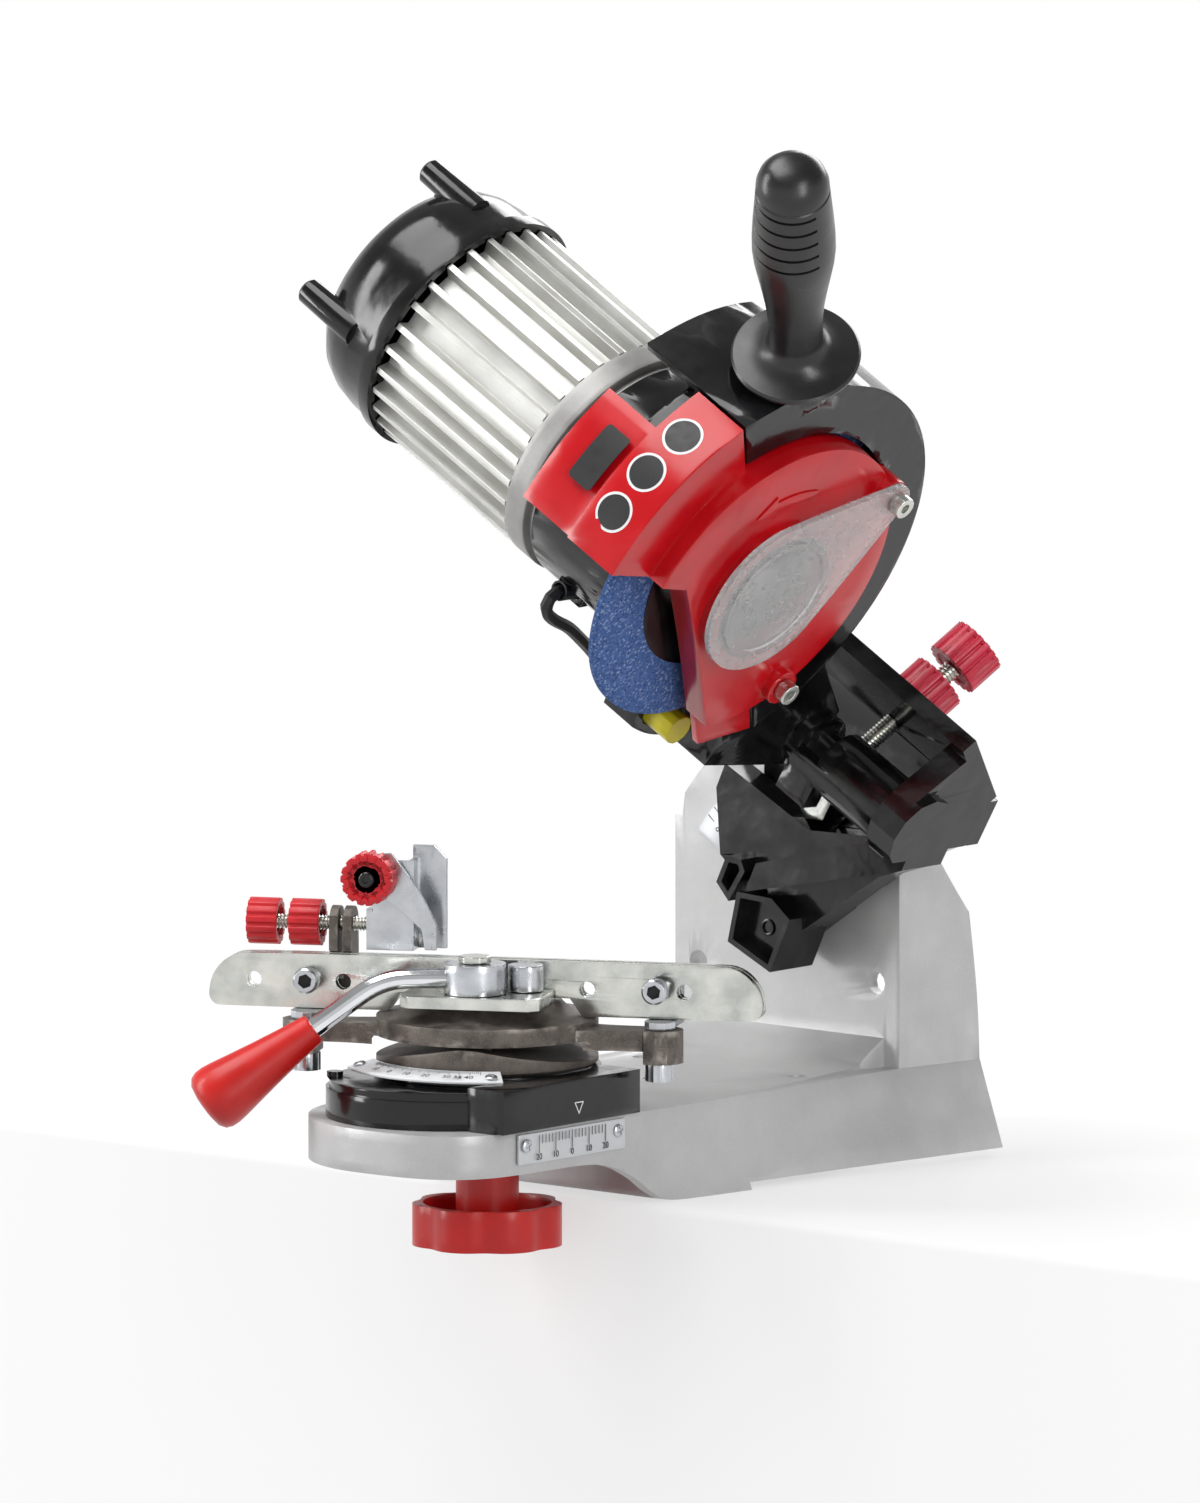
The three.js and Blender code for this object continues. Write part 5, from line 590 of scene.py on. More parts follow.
def makeKnobs():
    knobs["depthKnob"].update({"place": depthPoint(depth["knobAt"]), "axis": leanAxis})
    knobs["depthLockKnob"].update({"place": depthPoint(depth["lockAt"]), "axis": leanAxis})
    for name, look in knobs.items():
        knob = ribbedKnob(look)
        settled(knob, look["frame"] @ along(look["axis"], look["place"]))
        handedOver(knob, name, look["finish"], look["body"], *look["replaces"])
    rod = threadedRod(depth["radius"], depth["pitch"], depth["length"])
    settled(rod, toTilt @ along(tuple(-a for a in leanAxis), depthPoint(depth["length"])))
    handedOver(rod, "depthScrewThread", "zinc", "depth_screw")
    rod = threadedRod(stopThread["radius"], stopThread["pitch"], stopThread["length"])
    settled(rod, toVise @ along((1, 0, 0), stopThread["place"]))
    handedOver(rod, "stopScrewThread", "zinc", "stop_screw")


makeKnobs()
ownShape |= {"stop_screw", "stop_lock_knob", "depth_screw", "depth_lock_knob"}
print("knobs and screws made")

# Handle: waisted grip with finger grooves over a wide guard disc
handle = {
    "foot": (0, -18, 98), "lean": 31.6,
    "profile": [(0, -8), (12.5, -8), (12.5, -1), (17, 0.4), (24, 1.8), (25.2, 2.8), (25.4, 4), (24.6, 5), (20, 6),
                (14.5, 8), (11.6, 11), (10.8, 15), (10.7, 22), (11, 29), (11.7, 36), (12.9, 44), (14.4, 53),
                (15.7, 61), (16.35, 68), (16.3, 76), (15.8, 86), (15.1, 95), (14.6, 102.2), (14.1, 102.7),
                (14.1, 103.5), (14.5, 104), (14.3, 107), (13.2, 110.5), (10.8, 113.6), (7.4, 115.7), (3.6, 116.6),
                (0, 116.8)],
    "grooves": (71, 78, 85, 92, 99), "grooveSpan": (-150, -5), "grooveHigh": 1.4, "grooveDeep": 0.8,
    "grooveEase": 0.25, "core": 13,
}


def makeHandle():
    grip = turned(handle["profile"], 96)
    editing(grip)
    for height in handle["grooves"]:
        for part in (-0.5, 0.5):
            bpy.ops.mesh.select_all(action="SELECT")
            level = (height + part * handle["grooveHigh"]) * mm
            bpy.ops.mesh.bisect(plane_co=(0, 0, level), plane_no=(0, 0, 1))
    done()
    begin, end = handle["grooveSpan"]

    def inGroove(face):
        x, y, z = face.center
        return (any(abs(z / mm - height) < handle["grooveHigh"] / 2 for height in handle["grooves"])
                and begin < math.degrees(math.atan2(y, x)) < end and math.hypot(x, y) > handle["core"] * mm)

    picked(grip, inGroove)
    bpy.ops.mesh.inset(thickness=handle["grooveEase"] * mm, depth=-handle["grooveDeep"] * mm)
    done()
    only(grip)
    bpy.ops.object.shade_smooth_by_angle(angle=math.radians(38))
    place = toHead @ Matrix.Translation(Vector(handle["foot"]) * mm)
    settled(grip, place @ Matrix.Rotation(math.radians(handle["lean"]), 4, "X"))
    handedOver(grip, "handleGrip", "blackPlastic", "head", "handle_grip")


makeHandle()
ownShape.add("handle_grip")

# Spring: wire wound between the bracket's cheeks, seen from the front under the guard
spring = {"from": -37.7, "to": -9.4, "centre": (137, 91), "radius": 10.5, "wire": 1.15, "turns": 6}


def makeSpring():
    bpy.ops.object.select_all(action="DESELECT")
    bpy.ops.mesh.primitive_circle_add(vertices=10, radius=spring["wire"] * mm, fill_type="NGON",
                                      location=(spring["radius"] * mm, 0, 0), rotation=(math.pi / 2, 0, 0))
    coil = bpy.context.active_object
    bpy.ops.object.transform_apply(location=True, rotation=True, scale=True)
    run = spring["to"] - spring["from"] - 2 * spring["wire"]
    finished(coil, "SCREW", axis="Z", angle=2 * math.pi, screw_offset=run / spring["turns"] * mm,
             iterations=spring["turns"], steps=32, render_steps=32)
    editing(coil)
    bpy.ops.mesh.select_all(action="SELECT")
    bpy.ops.mesh.remove_doubles(threshold=0.005 * mm)
    bpy.ops.mesh.delete_loose()
    facedOut()
    only(coil)
    bpy.ops.object.shade_smooth_by_angle(angle=math.radians(50))
    settled(coil, toTilt @ along((1, 0, 0), (spring["from"] + spring["wire"], *spring["centre"])))
    handedOver(coil, "torsionSpring", "springWire", "tilt_frame", "torsion_spring")


makeSpring()
ownShape.add("torsion_spring")
print("handle and spring made")


def erased(piece):
    bpy.data.objects.remove(piece, do_unlink=True)


def combined(piece, other, operation="UNION"):
    finished(piece, "BOOLEAN", operation=operation, object=other, solver="EXACT")
    erased(other)


# Bracket of the head: the solid's cheeks and roof, its back plate trimmed to the real outline and
# relieved behind so that it passes over the tilt scale, with the raised field, the lower wall and
# the pocketed lug added; corners as (across, up) from the tilt axis
facing = toTilt @ upended
bracket = {
    "trim": [(-70, -60), (100, -60), (100, 79), (66, 79), (46, 54), (21, 3), (-12, -4), (-26, 9), (-40, 31),
             (-70, 31)],
    "trimDepth": (-200, -100),
    "relief": [(36.2, -183), (53.4, -183), (53.4, -180.5), (36.2, -180.5)],
    "field": ([(-41, 44), (-40, 33), (-25, 11), (-8, 8), (0, 22), (47, 60), (38, 64), (8, 46)], -173, -160),
    "wall": ([(-1, 25), (0, 12), (62, 66), (62, 78), (50, 74)], -173, -149),
    "web": ([(0, 13), (61, 66), (46, 50), (22, 4)], -176, -161),
    "lug": ([(-4, 9), (12, 17), (24, 15), (26, -9), (2, -11)], -176, -150),
    "tab": ([(-17, 17), (-16, 5), (-7, 2), (-6, 17), (-10, 20)], -175, -152),
    "pocket": 2.2, "pocketDeep": 7, "hole": (12, 2, 2.2), "seatWall": 1.2, "seatHigh": 0.8, "ease": 1.1,
}


def makeBracket():
    piece = looseCopy("tilt_bracket")
    cutter = outlined(bracket["trim"], *bracket["trimDepth"])
    settled(cutter, facing)
    combined(piece, cutter, "DIFFERENCE")
    relief = turned(bracket["relief"], 96)
    settled(relief, facing)
    combined(piece, relief, "DIFFERENCE")
    for name in ("field", "wall", "web", "lug", "tab"):
        corners, low, high = bracket[name]
        part = outlined(corners, low, high)
        if name in ("lug", "tab"):
            picked(part, lambda face: face.normal.z > 0.9)
            bpy.ops.mesh.inset(thickness=bracket["pocket"] * mm, depth=0)
            bpy.ops.mesh.extrude_region_move(
                TRANSFORM_OT_translate={"value": (0, 0, -bracket["pocketDeep"] * mm)})
            done()
        settled(part, facing)
        combined(piece, part)
    eased(piece, bracket["ease"], flat=True)
    handedOver(piece, "headBracket", "blackEnamel", "tilt_frame", "tilt_bracket")
    # the seat of the stop screw in the lug
    x, y, radius = bracket["hole"]
    outer, high = radius + bracket["seatWall"], bracket["seatHigh"]
    ring = turned([(radius, 0), (outer, 0), (outer, high), (radius, high)], 32)
    eased(ring, 0.2)
    floor = bracket["lug"][2] - bracket["pocketDeep"]
    settled(ring, facing @ Matrix.Translation(Vector((x, y, floor)) * mm))
    handedOver(ring, "lugScrewSeat", "blackEnamel", "tilt_frame")


makeBracket()
ownShape.add("tilt_bracket")
print("bracket made")

# Printed scales: each mark a thin strip, each number a text turned to mesh
prints = {
    "slide": {"face": 56.12, "zero": -14.2, "top": 35, "long": 7, "short": 3.4, "wide": 0.35, "number": 3.6,
              "numberUp": 26.4, "step": 2, "reach": 20},
    "arc": {"inner": 45.5, "outer": 56.2, "high": 57.6, "drop": 2.7, "under": 54.0, "begin": -127, "end": -43,
            "radius": 46, "long": 3.0, "short": 1.8, "zero": -97.5, "from": -18, "to": 45, "wide": 0.24,
            "number": 3.7, "numberAt": 51.6, "last": 35, "proud": 0.02},
    "tilt": {"inner": 37, "outer": 52.5, "from": 106, "to": 150, "step": 5, "short": 4, "wide": 0.4,
             "number": 4.6, "numberAt": 44, "rear": -181.7, "face": -180.8, "proud": 0.02, "rim": 0.5,
             "ends": (4, 8), "every": 15, "shift": 5, "middle": (125, 60)},
}


def printed(text, size):
    bpy.ops.object.select_all(action="DESELECT")
    bpy.ops.object.text_add()
    piece = bpy.context.active_object
    piece.data.body = text
    piece.data.size = size * mm
    piece.data.extrude = 0.04 * mm
    piece.data.align_x = "CENTER"
    piece.data.align_y = "CENTER"
    bpy.ops.object.convert(target="MESH")
    return bpy.context.active_object


def strip(wide, long):
    # a mark that starts at the origin and runs up along Y
    bpy.ops.object.select_all(action="DESELECT")
    bpy.ops.mesh.primitive_plane_add(size=1)
    piece = bpy.context.active_object
    piece.scale = (wide * mm, long * mm, 1)
    piece.location = (0, long / 2 * mm, 0)
    bpy.ops.object.transform_apply(location=True, rotation=True, scale=True)
    editing(piece)
    bpy.ops.mesh.select_all(action="SELECT")
    bpy.ops.mesh.extrude_region_move(TRANSFORM_OT_translate={"value": (0, 0, 0.05 * mm)})
    facedOut()
    return piece


def turnedBy(x, y, degrees=0):
    return Matrix.Translation((x * mm, y * mm, 0)) @ Matrix.Rotation(math.radians(degrees), 4, "Z")


def spread(begin, end, steps):
    return [math.radians(begin + (end - begin) * i / steps) for i in range(steps + 1)]


def band(inner, outer, turns):
    # corners of a sector of a ring
    return ([(outer * math.cos(a), outer * math.sin(a)) for a in turns]
            + [(inner * math.cos(a), inner * math.sin(a)) for a in reversed(turns)])


def makeSlideMarks():
    look = prints["slide"]
    marks = []
    for place in range(-look["reach"], look["reach"] + 1, look["step"]):
        long = look["long"] if place % 10 == 0 else look["short"]
        mark = strip(look["wide"], long)
        settled(mark, turnedBy(place, look["top"] - long))
        marks.append(mark)
        if place % 10 == 0:
            number = printed(str(abs(place)), look["number"])
            settled(number, turnedBy(place, look["numberUp"]))
            marks.append(number)
    whole = joined(marks)
    settled(whole, toBase @ facingRight(look["face"], look["zero"]))
    handedOver(whole, "slideScaleMarks", "blackInk", "base")


def makeArcPlate():
    # the scale is a band that slopes down to the front round the drum
    look = prints["arc"]
    run = look["outer"] - look["inner"]
    corners = band(look["inner"], look["outer"], spread(look["begin"], look["end"], 40))
    plate = outlined(corners, look["under"], look["high"])
    for corner in plate.data.vertices:
        out = math.hypot(corner.co.x, corner.co.y) / mm - look["inner"]
        if corner.co.z > (look["under"] + 1) * mm:
            corner.co.z -= out / run * look["drop"] * mm
    eased(plate, 0.15)
    settled(plate, toBase)
    handedOver(plate, "arcScalePlate", "whitePlate", "slide", "angle_scale")

    slope = math.atan2(look["drop"], run)

    def onSlope(turn, radius):
        height = look["high"] + look["proud"] - (radius - look["inner"]) / run * look["drop"]
        return (toBase @ Matrix.Rotation(math.radians(turn + 90), 4, "Z")
                @ Matrix.Translation((0, -radius * mm, height * mm)) @ Matrix.Rotation(slope, 4, "X"))

    marks = []
    for place in range(look["from"], look["to"] + 1):
        long = look["long"] if place % 5 == 0 else look["short"]
        mark = strip(look["wide"], long)
        settled(mark, onSlope(look["zero"] + place, look["radius"] + long))
        marks.append(mark)
        if place % 10 == 0 or place == look["last"]:
            number = printed(str(abs(place)), look["number"])
            settled(number, onSlope(look["zero"] + place, look["numberAt"]))
            marks.append(number)
    handedOver(joined(marks), "arcScaleMarks", "blackInk", "slide")


def makeTiltPlate():
    # the arc plate on the column's face that the bracket's edge is read against
    look = prints["tilt"]
    upright = toBase @ Matrix.Translation((0, 0, layout["chainLine"] * mm)) @ upended
    corners = band(look["inner"], look["outer"], spread(look["from"], look["to"], 22))
    plate = outlined(corners, look["rear"], look["face"])
    eased(plate, 0.15)
    settled(plate, upright)
    handedOver(plate, "tiltScalePlate", "scalePlate", "base", "tilt_scale")
    marks = []
    middle, value = look["middle"]
    for place in range(look["from"] + look["ends"][0], look["to"] - look["ends"][1], look["step"]):
        across, up = math.cos(math.radians(place)), math.sin(math.radians(place))
        for radius in (look["inner"] + look["rim"], look["outer"] - look["short"] - look["rim"]):
            mark = strip(look["wide"], look["short"])
            settled(mark, turnedBy(across * radius, up * radius, place - 90))
            marks.append(mark)
        if place % look["every"] == look["shift"]:
            number = printed(str(value + (place - middle) * 2), look["number"])
            settled(number, turnedBy(across * look["numberAt"], up * look["numberAt"], place - 90))
            marks.append(number)
    whole = joined(marks)
    settled(whole, upright @ Matrix.Translation((0, 0, (look["face"] + look["proud"]) * mm)))
    handedOver(whole, "tiltScaleMarks", "blackInk", "base")


makeSlideMarks()
makeArcPlate()
makeTiltPlate()
ownShape |= {"tilt_scale", "angle_scale"}
print("scales printed")

# Marks on the guard: three bare round badges, the bare rating plate and the arrow of rotation
guardMarks = {
    "badges": (159.6, 147.0, 134.4), "badgeAcross": -2.9, "radius": 91.2, "badge": 8.2, "ring": 1.1,
    "plate": {"across": -23.5, "turn": 151.8, "wide": 12.5, "long": 26, "corner": 1.2, "radius": 91.2},
    "arrow": {"radius": 45, "wide": 5, "from": 84, "to": 112, "head": 13.5, "headWide": 11, "face": 20.02,
              "rise": 0.7, "ease": 0.25},
    "sheet": {"pitch": 1.5, "white": 0.2, "black": 0.28, "plate": 0.3, "badgeCuts": 6, "plateCuts": 9},
}


def radial(turn, radius, across):
    # a matrix on the wheel's rim: Z outwards, Y along the rim, X across it
    out = Vector((0, math.cos(math.radians(turn)), math.sin(math.radians(turn))))
    rim = Vector((0, -out.z, out.y))
    side = rim.cross(out)
    place = Matrix.Translation(Vector((across, out.y * radius, out.z * radius)) * mm)
    return toHead @ place @ Matrix((side, rim, out)).transposed().to_4x4()


def bentPlate(corners, place, radius, cuts, thick):
    # a thin flat sheet cut into strips and wrapped round the rim
    sheet = outlined(corners, 0, thick)
    editing(sheet)
    for step in range(-cuts, cuts + 1):
        level = step * guardMarks["sheet"]["pitch"] * mm
        bpy.ops.mesh.select_all(action="SELECT")
        bpy.ops.mesh.bisect(plane_co=(0, level, 0), plane_no=(0, 1, 0))
    done()
    for corner in sheet.data.vertices:
        turn = corner.co.y / (radius * mm)
        out = radius * mm + corner.co.z
        corner.co = (corner.co.x, math.sin(turn) * out, math.cos(turn) * out - radius * mm)
    settled(sheet, place)
    only(sheet)
    bpy.ops.object.shade_smooth_by_angle(angle=math.radians(30))
    return sheet


def disc(radius, count=40):
    return [(math.cos(2 * math.pi * i / count) * radius, math.sin(2 * math.pi * i / count) * radius)
            for i in range(count)]


def makeGuardMarks():
    look, sheet = guardMarks, guardMarks["sheet"]
    for number, turn in enumerate(look["badges"], 1):
        place = radial(turn, look["radius"], look["badgeAcross"])
        for colour, radius, thick in (("White", look["badge"], sheet["white"]),
                                      ("Black", look["badge"] - look["ring"], sheet["black"])):
            badge = bentPlate(disc(radius), place, look["radius"], sheet["badgeCuts"], thick)
            handedOver(badge, "badge%s%d" % (colour, number), colour.lower() + "Ink", "head")
    plate = look["plate"]
    wide, long, cut = plate["wide"] / 2, plate["long"] / 2, plate["corner"]
    corners = [(-wide + cut, -long), (wide - cut, -long), (wide, -long + cut), (wide, long - cut),
               (wide - cut, long), (-wide + cut, long), (-wide, long - cut), (-wide, -long + cut)]
    place = radial(plate["turn"], plate["radius"], plate["across"])
    face = bentPlate(corners, place, plate["radius"], sheet["plateCuts"], sheet["plate"])
    handedOver(face, "ratingPlateBare", "blackInk", "head")
    arrow = look["arrow"]
    radius, half, headHalf = arrow["radius"], arrow["wide"] / 2, arrow["headWide"] / 2
    turns = spread(arrow["from"], arrow["to"], 14)
    tip = math.radians(arrow["to"] + arrow["head"])
    tail = band(radius - half, radius + half, turns)
    outer, inner = tail[:len(turns)], tail[len(turns):]
    head = [(math.cos(turn) * at, math.sin(turn) * at)
            for turn, at in ((turns[-1], radius + headHalf), (tip, radius), (turns[-1], radius - headHalf))]
    piece = outlined(outer + head + inner, 0, arrow["rise"])
    eased(piece, arrow["ease"])
    settled(piece, toHead @ facingRight(arrow["face"]))
    handedOver(piece, "rotationArrow", "redEnamel", "head")


makeGuardMarks()
print("guard marks made")

# Motor: a ribbed extrusion, and a domed end cap with four bolt posts that stand past it
motor = {
    "fins": 30, "root": 44.9, "tip": 50.5, "rootWide": 3.9, "tipWide": 2.7, "bore": 43.6,
    "rear": -155, "front": -76.3, "past": 5, "finEase": 0.45, "capEase": 0.7,
    "cap": [(52.7, -155.4), (52.7, -161), (51, -162), (50.6, -172), (49.4, -180), (46.6, -187), (42, -192.4),
            (36, -196), (31, -197.8), (30, -199), (28, -199), (27, -197.6), (14, -197), (0, -196.8), (0, -194),
            (30, -194), (40, -189.5), (46.5, -180), (47.6, -170), (47.6, -157), (49, -155.4)],
    "postTurns": (84, 174, 264, 354), "postAt": 47.6, "postRadius": 5.4, "postFrom": -202, "postTo": -172,
    "postHole": 2.2, "postDeep": 3, "postTaper": 0.5, "postRound": (1, 1.2),
    "webWide": 5, "webFrom": 40, "webRear": -193,
}


def onRim(turn):
    # Z back along the motor, X outwards at this turn
    out = Vector((0, math.cos(math.radians(turn)), math.sin(math.radians(turn))))
    back = Vector((-1, 0, 0))
    return toHead @ Matrix((out, back.cross(out), back)).transposed().to_4x4()


def makeMotor():
    fins = motor["fins"]
    corners = []
    for number in range(fins):
        middle = 2 * math.pi * number / fins
        for radius, wide in ((motor["root"], -motor["rootWide"]), (motor["tip"], -motor["tipWide"]),
                             (motor["tip"], motor["tipWide"]), (motor["root"], motor["rootWide"])):
            turn = middle + wide / 2 / radius
            corners.append((math.cos(turn) * radius, math.sin(turn) * radius))
    front, rear, bore = -motor["front"], -motor["rear"], motor["bore"]
    body = outlined(corners, front, rear)
    low, high = front - motor["past"], rear + motor["past"]
    combined(body, turned([(0, low), (bore, low), (bore, high), (0, high)]), "DIFFERENCE")
    eased(body, motor["finEase"], 2, 40, flat=True)
    settled(body, onRim(0))
    handedOver(body, "motorBody", "extruded", "head", "motor_body")

    cap = turned([(radius, -place) for radius, place in motor["cap"]], 96)
    foot, end, radius = -motor["postTo"], -motor["postFrom"], motor["postRadius"]
    hole, floor = motor["postHole"], end - motor["postDeep"]
    inset, drop = motor["postRound"]
    half = motor["webWide"] / 2
    for turn in motor["postTurns"]:
        post = turned([(0, foot), (radius + motor["postTaper"], foot), (radius, end - drop),
                       (radius - inset, end), (hole, end), (hole, floor), (0, floor)], 32)
        web = outlined([(motor["webFrom"], -half), (motor["postAt"], -half), (motor["postAt"], half),
                        (motor["webFrom"], half)], foot, -motor["webRear"])
        settled(post, Matrix.Translation((motor["postAt"] * mm, 0, 0)))
        for part in (post, web):
            settled(part, Matrix.Rotation(math.radians(turn), 4, "Z"))
            combined(cap, part)
    eased(cap, motor["capEase"], 3, 32)
    settled(cap, onRim(0))
    handedOver(cap, "motorCap", "blackEnamel", "head", "motor_cap")


makeMotor()
ownShape |= {"motor_body", "motor_cap"}
print("motor made")

# Chain stop: the folded pawl that reaches down to the chain, its knob and its screw
pawl = {
    "corners": [(-47, 132), (-44.5, 136), (-37.6, 136.7), (-26.7, 121.3), (-20.4, 108.4), (-20.4, 98.2),
                (-25.1, 98.2), (-26.3, 106.2), (-37.6, 115.9), (-46.5, 121.7)],
    "front": 0.7, "rear": -1.3, "foldAt": 112, "foldAcross": (0.25, 1, 0), "fold": 0.12, "ease": 0.35,
    "knob": {"radius": 10.4, "thick": 10.5, "ribs": 15, "deep": 1.0, "sunk": 1.2, "finish": "redPlastic"},
    "knobAt": (-46, -1.5, 127),
    "screw": [(0, 0), (3.2, 0), (3.2, 1.4), (2.5, 2), (1.2, 2), (1.2, 1.3), (0, 1.3)], "screwSunk": 1,
}


def makePawl():
    plate = outlined(pawl["corners"], pawl["rear"], pawl["front"])
    editing(plate)
    bpy.ops.mesh.select_all(action="SELECT")
    bpy.ops.mesh.bisect(plane_co=(0, pawl["foldAt"] * mm, 0), plane_no=pawl["foldAcross"])
    done()
    for corner in plate.data.vertices:
        corner.co.z += max(0, corner.co.y - pawl["foldAt"] * mm) * pawl["fold"]
    eased(plate, pawl["ease"], flat=True)
    settled(plate, toVise @ upended)
    handedOver(plate, "stopPawl", "steel", "pawl", "stop_pawl")
    knob = ribbedKnob(pawl["knob"])
    settled(knob, toVise @ along((0, -1, 0), pawl["knobAt"]))
    handedOver(knob, "pawlKnob", pawl["knob"]["finish"], "pawl_knob", "pawl_knob")
    screw = turned(pawl["screw"], 24)
    eased(screw, 0.2)
    x, y, z = pawl["knobAt"]
    settled(screw, toVise @ along((0, -1, 0), (x, y - pawl["knob"]["thick"] + pawl["screwSunk"], z)))
    handedOver(screw, "pawlKnobScrew", "blackEnamel", "pawl_knob")


makePawl()
ownShape |= {"stop_pawl", "pawl_knob"}
print("chain stop made")

# Lever grip: one smooth moulding that swells towards its rounded butt
grip = {
    "profile": [(0, 0), (5.6, 0), (6.3, 0.7), (6.8, 5), (7.9, 13), (9.4, 23), (11.1, 33), (12.5, 41), (13, 45),
                (12.9, 48), (11.9, 50.6), (9.5, 52.4), (5, 53.2), (0, 53.3)],
    "hub": (0, -22, 91), "turn": 195, "end": (69.6, 0, -24), "along": (33.6, 0, -24), "back": 8,
}


def makeGrip():
    piece = turned(grip["profile"], 64)
    eased(piece, 0.5, 3, 40)
    run = Vector(grip["along"]).normalized()
    start = Vector(grip["end"]) - run * grip["back"]
    hub = Matrix.Translation(Vector(grip["hub"]) * mm)
    hub = hub @ Matrix.Rotation(math.radians(grip["turn"]), 4, "Z")
    settled(piece, toVise @ hub @ along(run, start))
    handedOver(piece, "leverGrip", "gripPlastic", nodes["lever_grip"]["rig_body"], "lever_grip")


makeGrip()
ownShape.add("lever_grip")

# Screws: socket heads on the rails, cross-head screws on the two scales
socketScrew = {"radius": 5.1, "tall": 5.4, "shank": 3, "long": 24.6, "socket": 2.5, "frame": toVise,
               "axis": (0, -1, 0)}
sideScrew = {"radius": 2.7, "tall": 1.1, "shank": 1.5, "long": 3, "cross": 0.8, "frame": toBase,
             "axis": (1, 0, 0), "on": "slide_scale"}
arcScrew = {"radius": 2.5, "tall": 1.0, "shank": 1.4, "long": 3, "cross": 0.75, "frame": toBase,
            "on": "angle_scale"}
screws = {
    "railScrewLeft": {**socketScrew, "place": (-70, 9.5, 86.5), "replaces": "rail_screw_left"},
    "railScrewRight": {**socketScrew, "place": (70, 9.5, 86.5), "replaces": "rail_screw_right"},
    "slideScaleScrewFront": {**sideScrew, "place": (54.2, -41.6, 31.6)},
    "slideScaleScrewRear": {**sideScrew, "place": (54.2, 13.4, 31.4)},
    "arcScrewLeft": {**arcScrew, "place": (-27.6, -43.9, 54.3), "axis": (-0.14, -0.2, 0.97)},
    "arcScrewRight": {**arcScrew, "place": (35.2, -38.6, 54.3), "axis": (0.17, -0.18, 0.97)},
}
# floor: low and high face of a black sheet laid in the hex socket's bottom, which is painted shade in the recess
screwShape = {"turn": 20, "ease": 0.12, "socketDeep": 0.6, "crossDeep": 0.55, "crossReach": 0.62,
              "past": 1, "floor": (0.02, 0.3)}


def makeScrew(name, look):
    # stands on the tip of its shank, its head upwards
    shape = screwShape
    r, long, tall = look["radius"], look["long"], look["tall"]
    under, past = long - tall, long + shape["past"]
    socket = look.get("socket")
    if socket:
        head = [(r - 0.4, under), (r, under + 0.4), (r, long - 0.9), (r - 0.8, long), (0, long)]
    else:
        head = [(r, under), (r * 0.96, under + tall * 0.45), (r * 0.72, under + tall * 0.85), (0, long)]
    piece = turned([(0, 0), (look["shank"], 0), (look["shank"], under)] + head, 40)
    if socket:
        corners = disc(socket / math.cos(math.pi / 6), 6)
        bottom = long - tall * shape["socketDeep"]
        combined(piece, outlined(corners, bottom, past), "DIFFERENCE")
    else:
        wide, out = look["cross"] / 2, r * shape["crossReach"]
        for x, y in ((wide, out), (out, wide)):
            bar = outlined([(-x, -y), (x, -y), (x, y), (-x, y)], long - tall * shape["crossDeep"], past)
            combined(piece, bar, "DIFFERENCE")
    eased(piece, shape["ease"], flat=True)
    place = look["frame"] @ along(look["axis"], look["place"], shape["turn"])
    settled(piece, place)
    replaced = [look["replaces"]] if socket else []
    body = nodes[replaced[0] if replaced else look["on"]]["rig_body"]
    handedOver(piece, name, "steel", body, *replaced)
    # a black rubber-finished sheet at the bottom of the hex socket: painted shade in the recess, not a part of
    # the screw
    if socket:
        floor = outlined(corners, bottom + shape["floor"][0], bottom + shape["floor"][1])
        settled(floor, place)
        handedOver(floor, name + "Socket", "rubber", body)
    ownShape.update(replaced)


for screwName, screwLook in screws.items():
    makeScrew(screwName, screwLook)

# The triangle on the slide's side that the scale below it is read by
pointer = {"place": (56.55, -10.8, 40.6), "half": 2.6, "tall": 4.6, "line": 0.45, "side": 0.585, "foot": 0.99,
           "thick": 0.06}


def makePointer():
    half, tall, line, thick = (pointer[key] for key in ("half", "tall", "line", "thick"))
    side = pointer["side"]
    corners = [(-half, tall), (0, 0), (half, tall), (half - side, tall), (0, pointer["foot"]),
               (-half + side, tall)]
    bar = outlined([(-half, tall), (half, tall), (half, tall + line), (-half, tall + line)], 0, thick)
    mark = joined([outlined(corners, 0, thick), bar])
    settled(mark, toBase @ facingRight(*pointer["place"]))
    handedOver(mark, "slidePointer", "whiteInk", "slide")


makePointer()

# Black blotter between the wheel and its front flange
blotter = [(9, 2.45), (47, 2.45), (47, 2.8), (9, 2.8)]
sheet = turned(blotter, 96)
settled(sheet, toHead @ Matrix.Rotation(math.radians(90), 4, "Y"))
handedOver(sheet, "wheelBlotter", "blackEnamel", nodes["grinding_wheel"]["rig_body"])
print("grip, screws and pointer made")

for node, look in dressing.items():
    if node not in ownShape:
        dressed(node, *look)
for node, piece in nodes.items():
    for slot in piece.material_slots:
        slot.material = finishes[dressing[node][0]]
print("CAD pieces dressed:", len(dressing) - len(ownShape))

# The bench: a pale top that ends before the overhanging knob and turns white away from the machine
bench = {"front": -81, "reach": 9000, "drop": 2500, "round": 4, "centre": (0, 0, 0.1), "near": 0.2,
         "far": 0.7, "least": 0.6, "colour": "#f7f7f7", "rough": 0.7, "shine": 0.2}


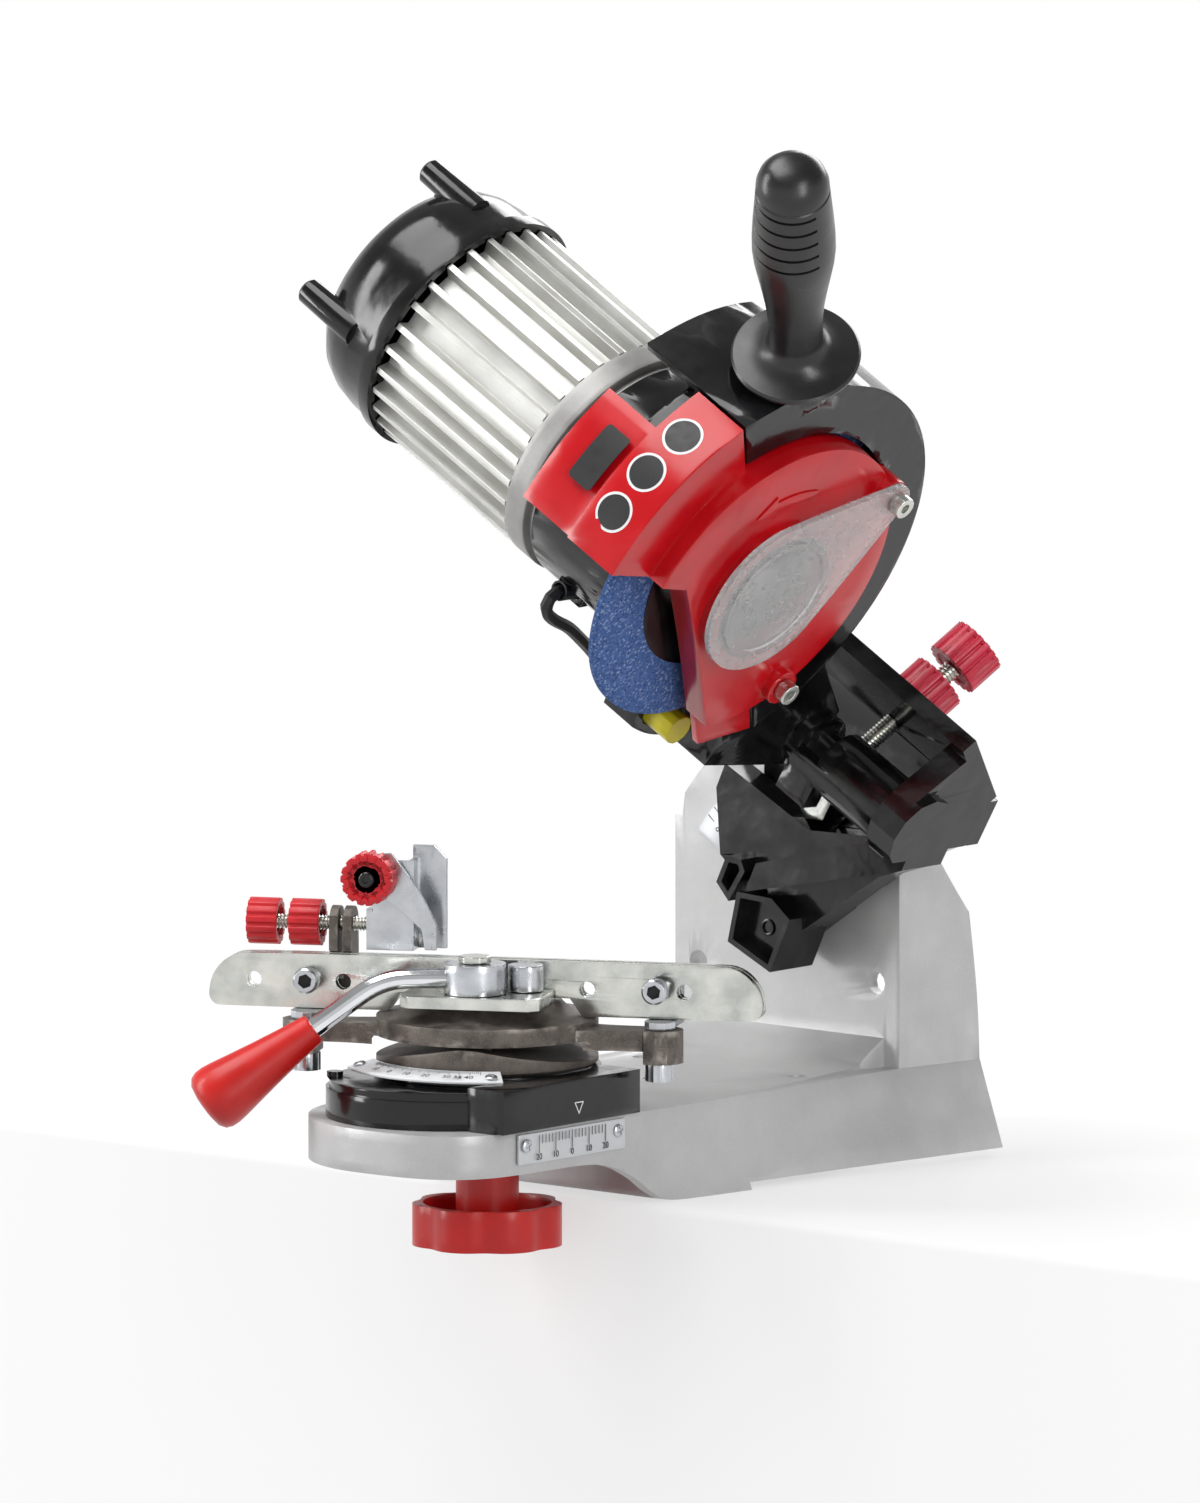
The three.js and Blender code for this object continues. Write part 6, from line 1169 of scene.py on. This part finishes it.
def makeBench():
    reach = bench["reach"] * mm
    bpy.ops.object.select_all(action="DESELECT")
    bpy.ops.mesh.primitive_plane_add(size=2 * reach, location=(0, reach + bench["front"] * mm, 0))
    top = bpy.context.active_object
    editing(top, "EDGE")
    done()
    for edge in top.data.edges:
        edge.select = all(top.data.vertices[i].co.y < 0 for i in edge.vertices)
    bpy.ops.object.mode_set(mode="EDIT")
    bpy.ops.mesh.extrude_region_move(TRANSFORM_OT_translate={"value": (0, 0, -bench["drop"] * mm)})
    done()
    eased(top, bench["round"], 5)
    material, tree, shader = newMaterial("paleBenchTop")
    spot = addNode(tree, "TexCoord", {}).outputs["Object"]
    far = addNode(tree, "VectorMath", {0: spot, 1: bench["centre"]}, operation="DISTANCE")
    fade = addNode(tree, "MapRange", {"Value": far.outputs["Value"], 1: bench["near"],
                                      2: bench["far"], 3: bench["least"], 4: 1.0})
    rays = addNode(tree, "LightPath", {})
    seen = addNode(tree, "Math", {0: rays.outputs["Is Camera Ray"], 1: rays.outputs["Is Glossy Ray"]},
                   operation="MAXIMUM")
    through = addNode(tree, "Math", {0: seen.outputs[0], 1: rays.outputs["Is Transmission Ray"]},
                      operation="MAXIMUM")
    share = addNode(tree, "Math", {0: through.outputs[0], 1: fade.outputs[0]}, operation="MULTIPLY")
    white = addNode(tree, "Emission", {"Color": (1, 1, 1, 1), "Strength": 1.0})
    both = addNode(tree, "MixShader", {0: share.outputs[0], 1: shader.outputs[0], 2: white.outputs[0]})
    shader.inputs["Base Color"].default_value = linear(bench["colour"])
    shader.inputs["Roughness"].default_value = bench["rough"]
    shader.inputs["Specular IOR Level"].default_value = bench["shine"]
    tree.links.new(both.outputs[0], tree.nodes["Material Output"].inputs["Surface"])
    top.name = "benchTop"
    top.data.materials.append(material)
    settled(top, Matrix.Identity(4))


makeBench()

# Soft light: a wide one above, a tall one on each side, and a white surround that only eyes and gloss see
lights = {
    "above": {"place": (-300, -500, 1700), "size": (1300, 800), "power": 18},
    "leftTall": {"place": (-1150, -1150, 700), "size": (330, 1500), "power": 16},
    "rightTall": {"place": (1600, -700, 700), "size": (300, 1400), "power": 12},
    "behind": {"place": (-300, 1400, 1000), "size": (1300, 600), "power": 12},
    "surround": 0.34,
}


def makeLights():
    aim = Vector(camera["target"]) * mm
    for name in ("above", "leftTall", "rightTall", "behind"):
        look = lights[name]
        data = bpy.data.lights.new(name, "AREA")
        data.shape = "RECTANGLE"
        data.size = look["size"][0] * mm
        data.size_y = look["size"][1] * mm
        data.energy = look["power"]
        lamp = bpy.data.objects.new(name, data)
        lamp.location = Vector(look["place"]) * mm
        lamp.rotation_euler = (aim - lamp.location).to_track_quat("-Z", "Y").to_euler()
        bpy.context.scene.collection.objects.link(lamp)
    world = bpy.data.worlds.new("whiteSurround")
    bpy.context.scene.world = world
    world.use_nodes = True
    tree = world.node_tree
    rays = addNode(tree, "LightPath", {})
    seen = addNode(tree, "Math", {0: rays.outputs["Is Camera Ray"], 1: rays.outputs["Is Transmission Ray"]},
                   operation="MAXIMUM")
    # gloss sees the white background only where it looks low past the object, as in a studio
    toward = addNode(tree, "SeparateXYZ", {"Vector": addNode(tree, "TexCoord", {}).outputs["Generated"]})
    low = addNode(tree, "MapRange", {"Value": toward.outputs["Z"], 1: 0.45, 2: 0.1})
    gloss = addNode(tree, "Math", {0: rays.outputs["Is Glossy Ray"], 1: low.outputs[0]}, operation="MULTIPLY")
    white = addNode(tree, "Math", {0: seen.outputs[0], 1: gloss.outputs[0]}, operation="MAXIMUM")
    level = addNode(tree, "MapRange", {"Value": white.outputs[0], 3: lights["surround"], 4: 1.0})
    sky = tree.nodes["Background"]
    sky.inputs["Color"].default_value = (1, 1, 1, 1)
    tree.links.new(level.outputs[0], sky.inputs["Strength"])


makeLights()
bpy.context.scene.view_settings.view_transform = "Standard"
print("bench and lights made")
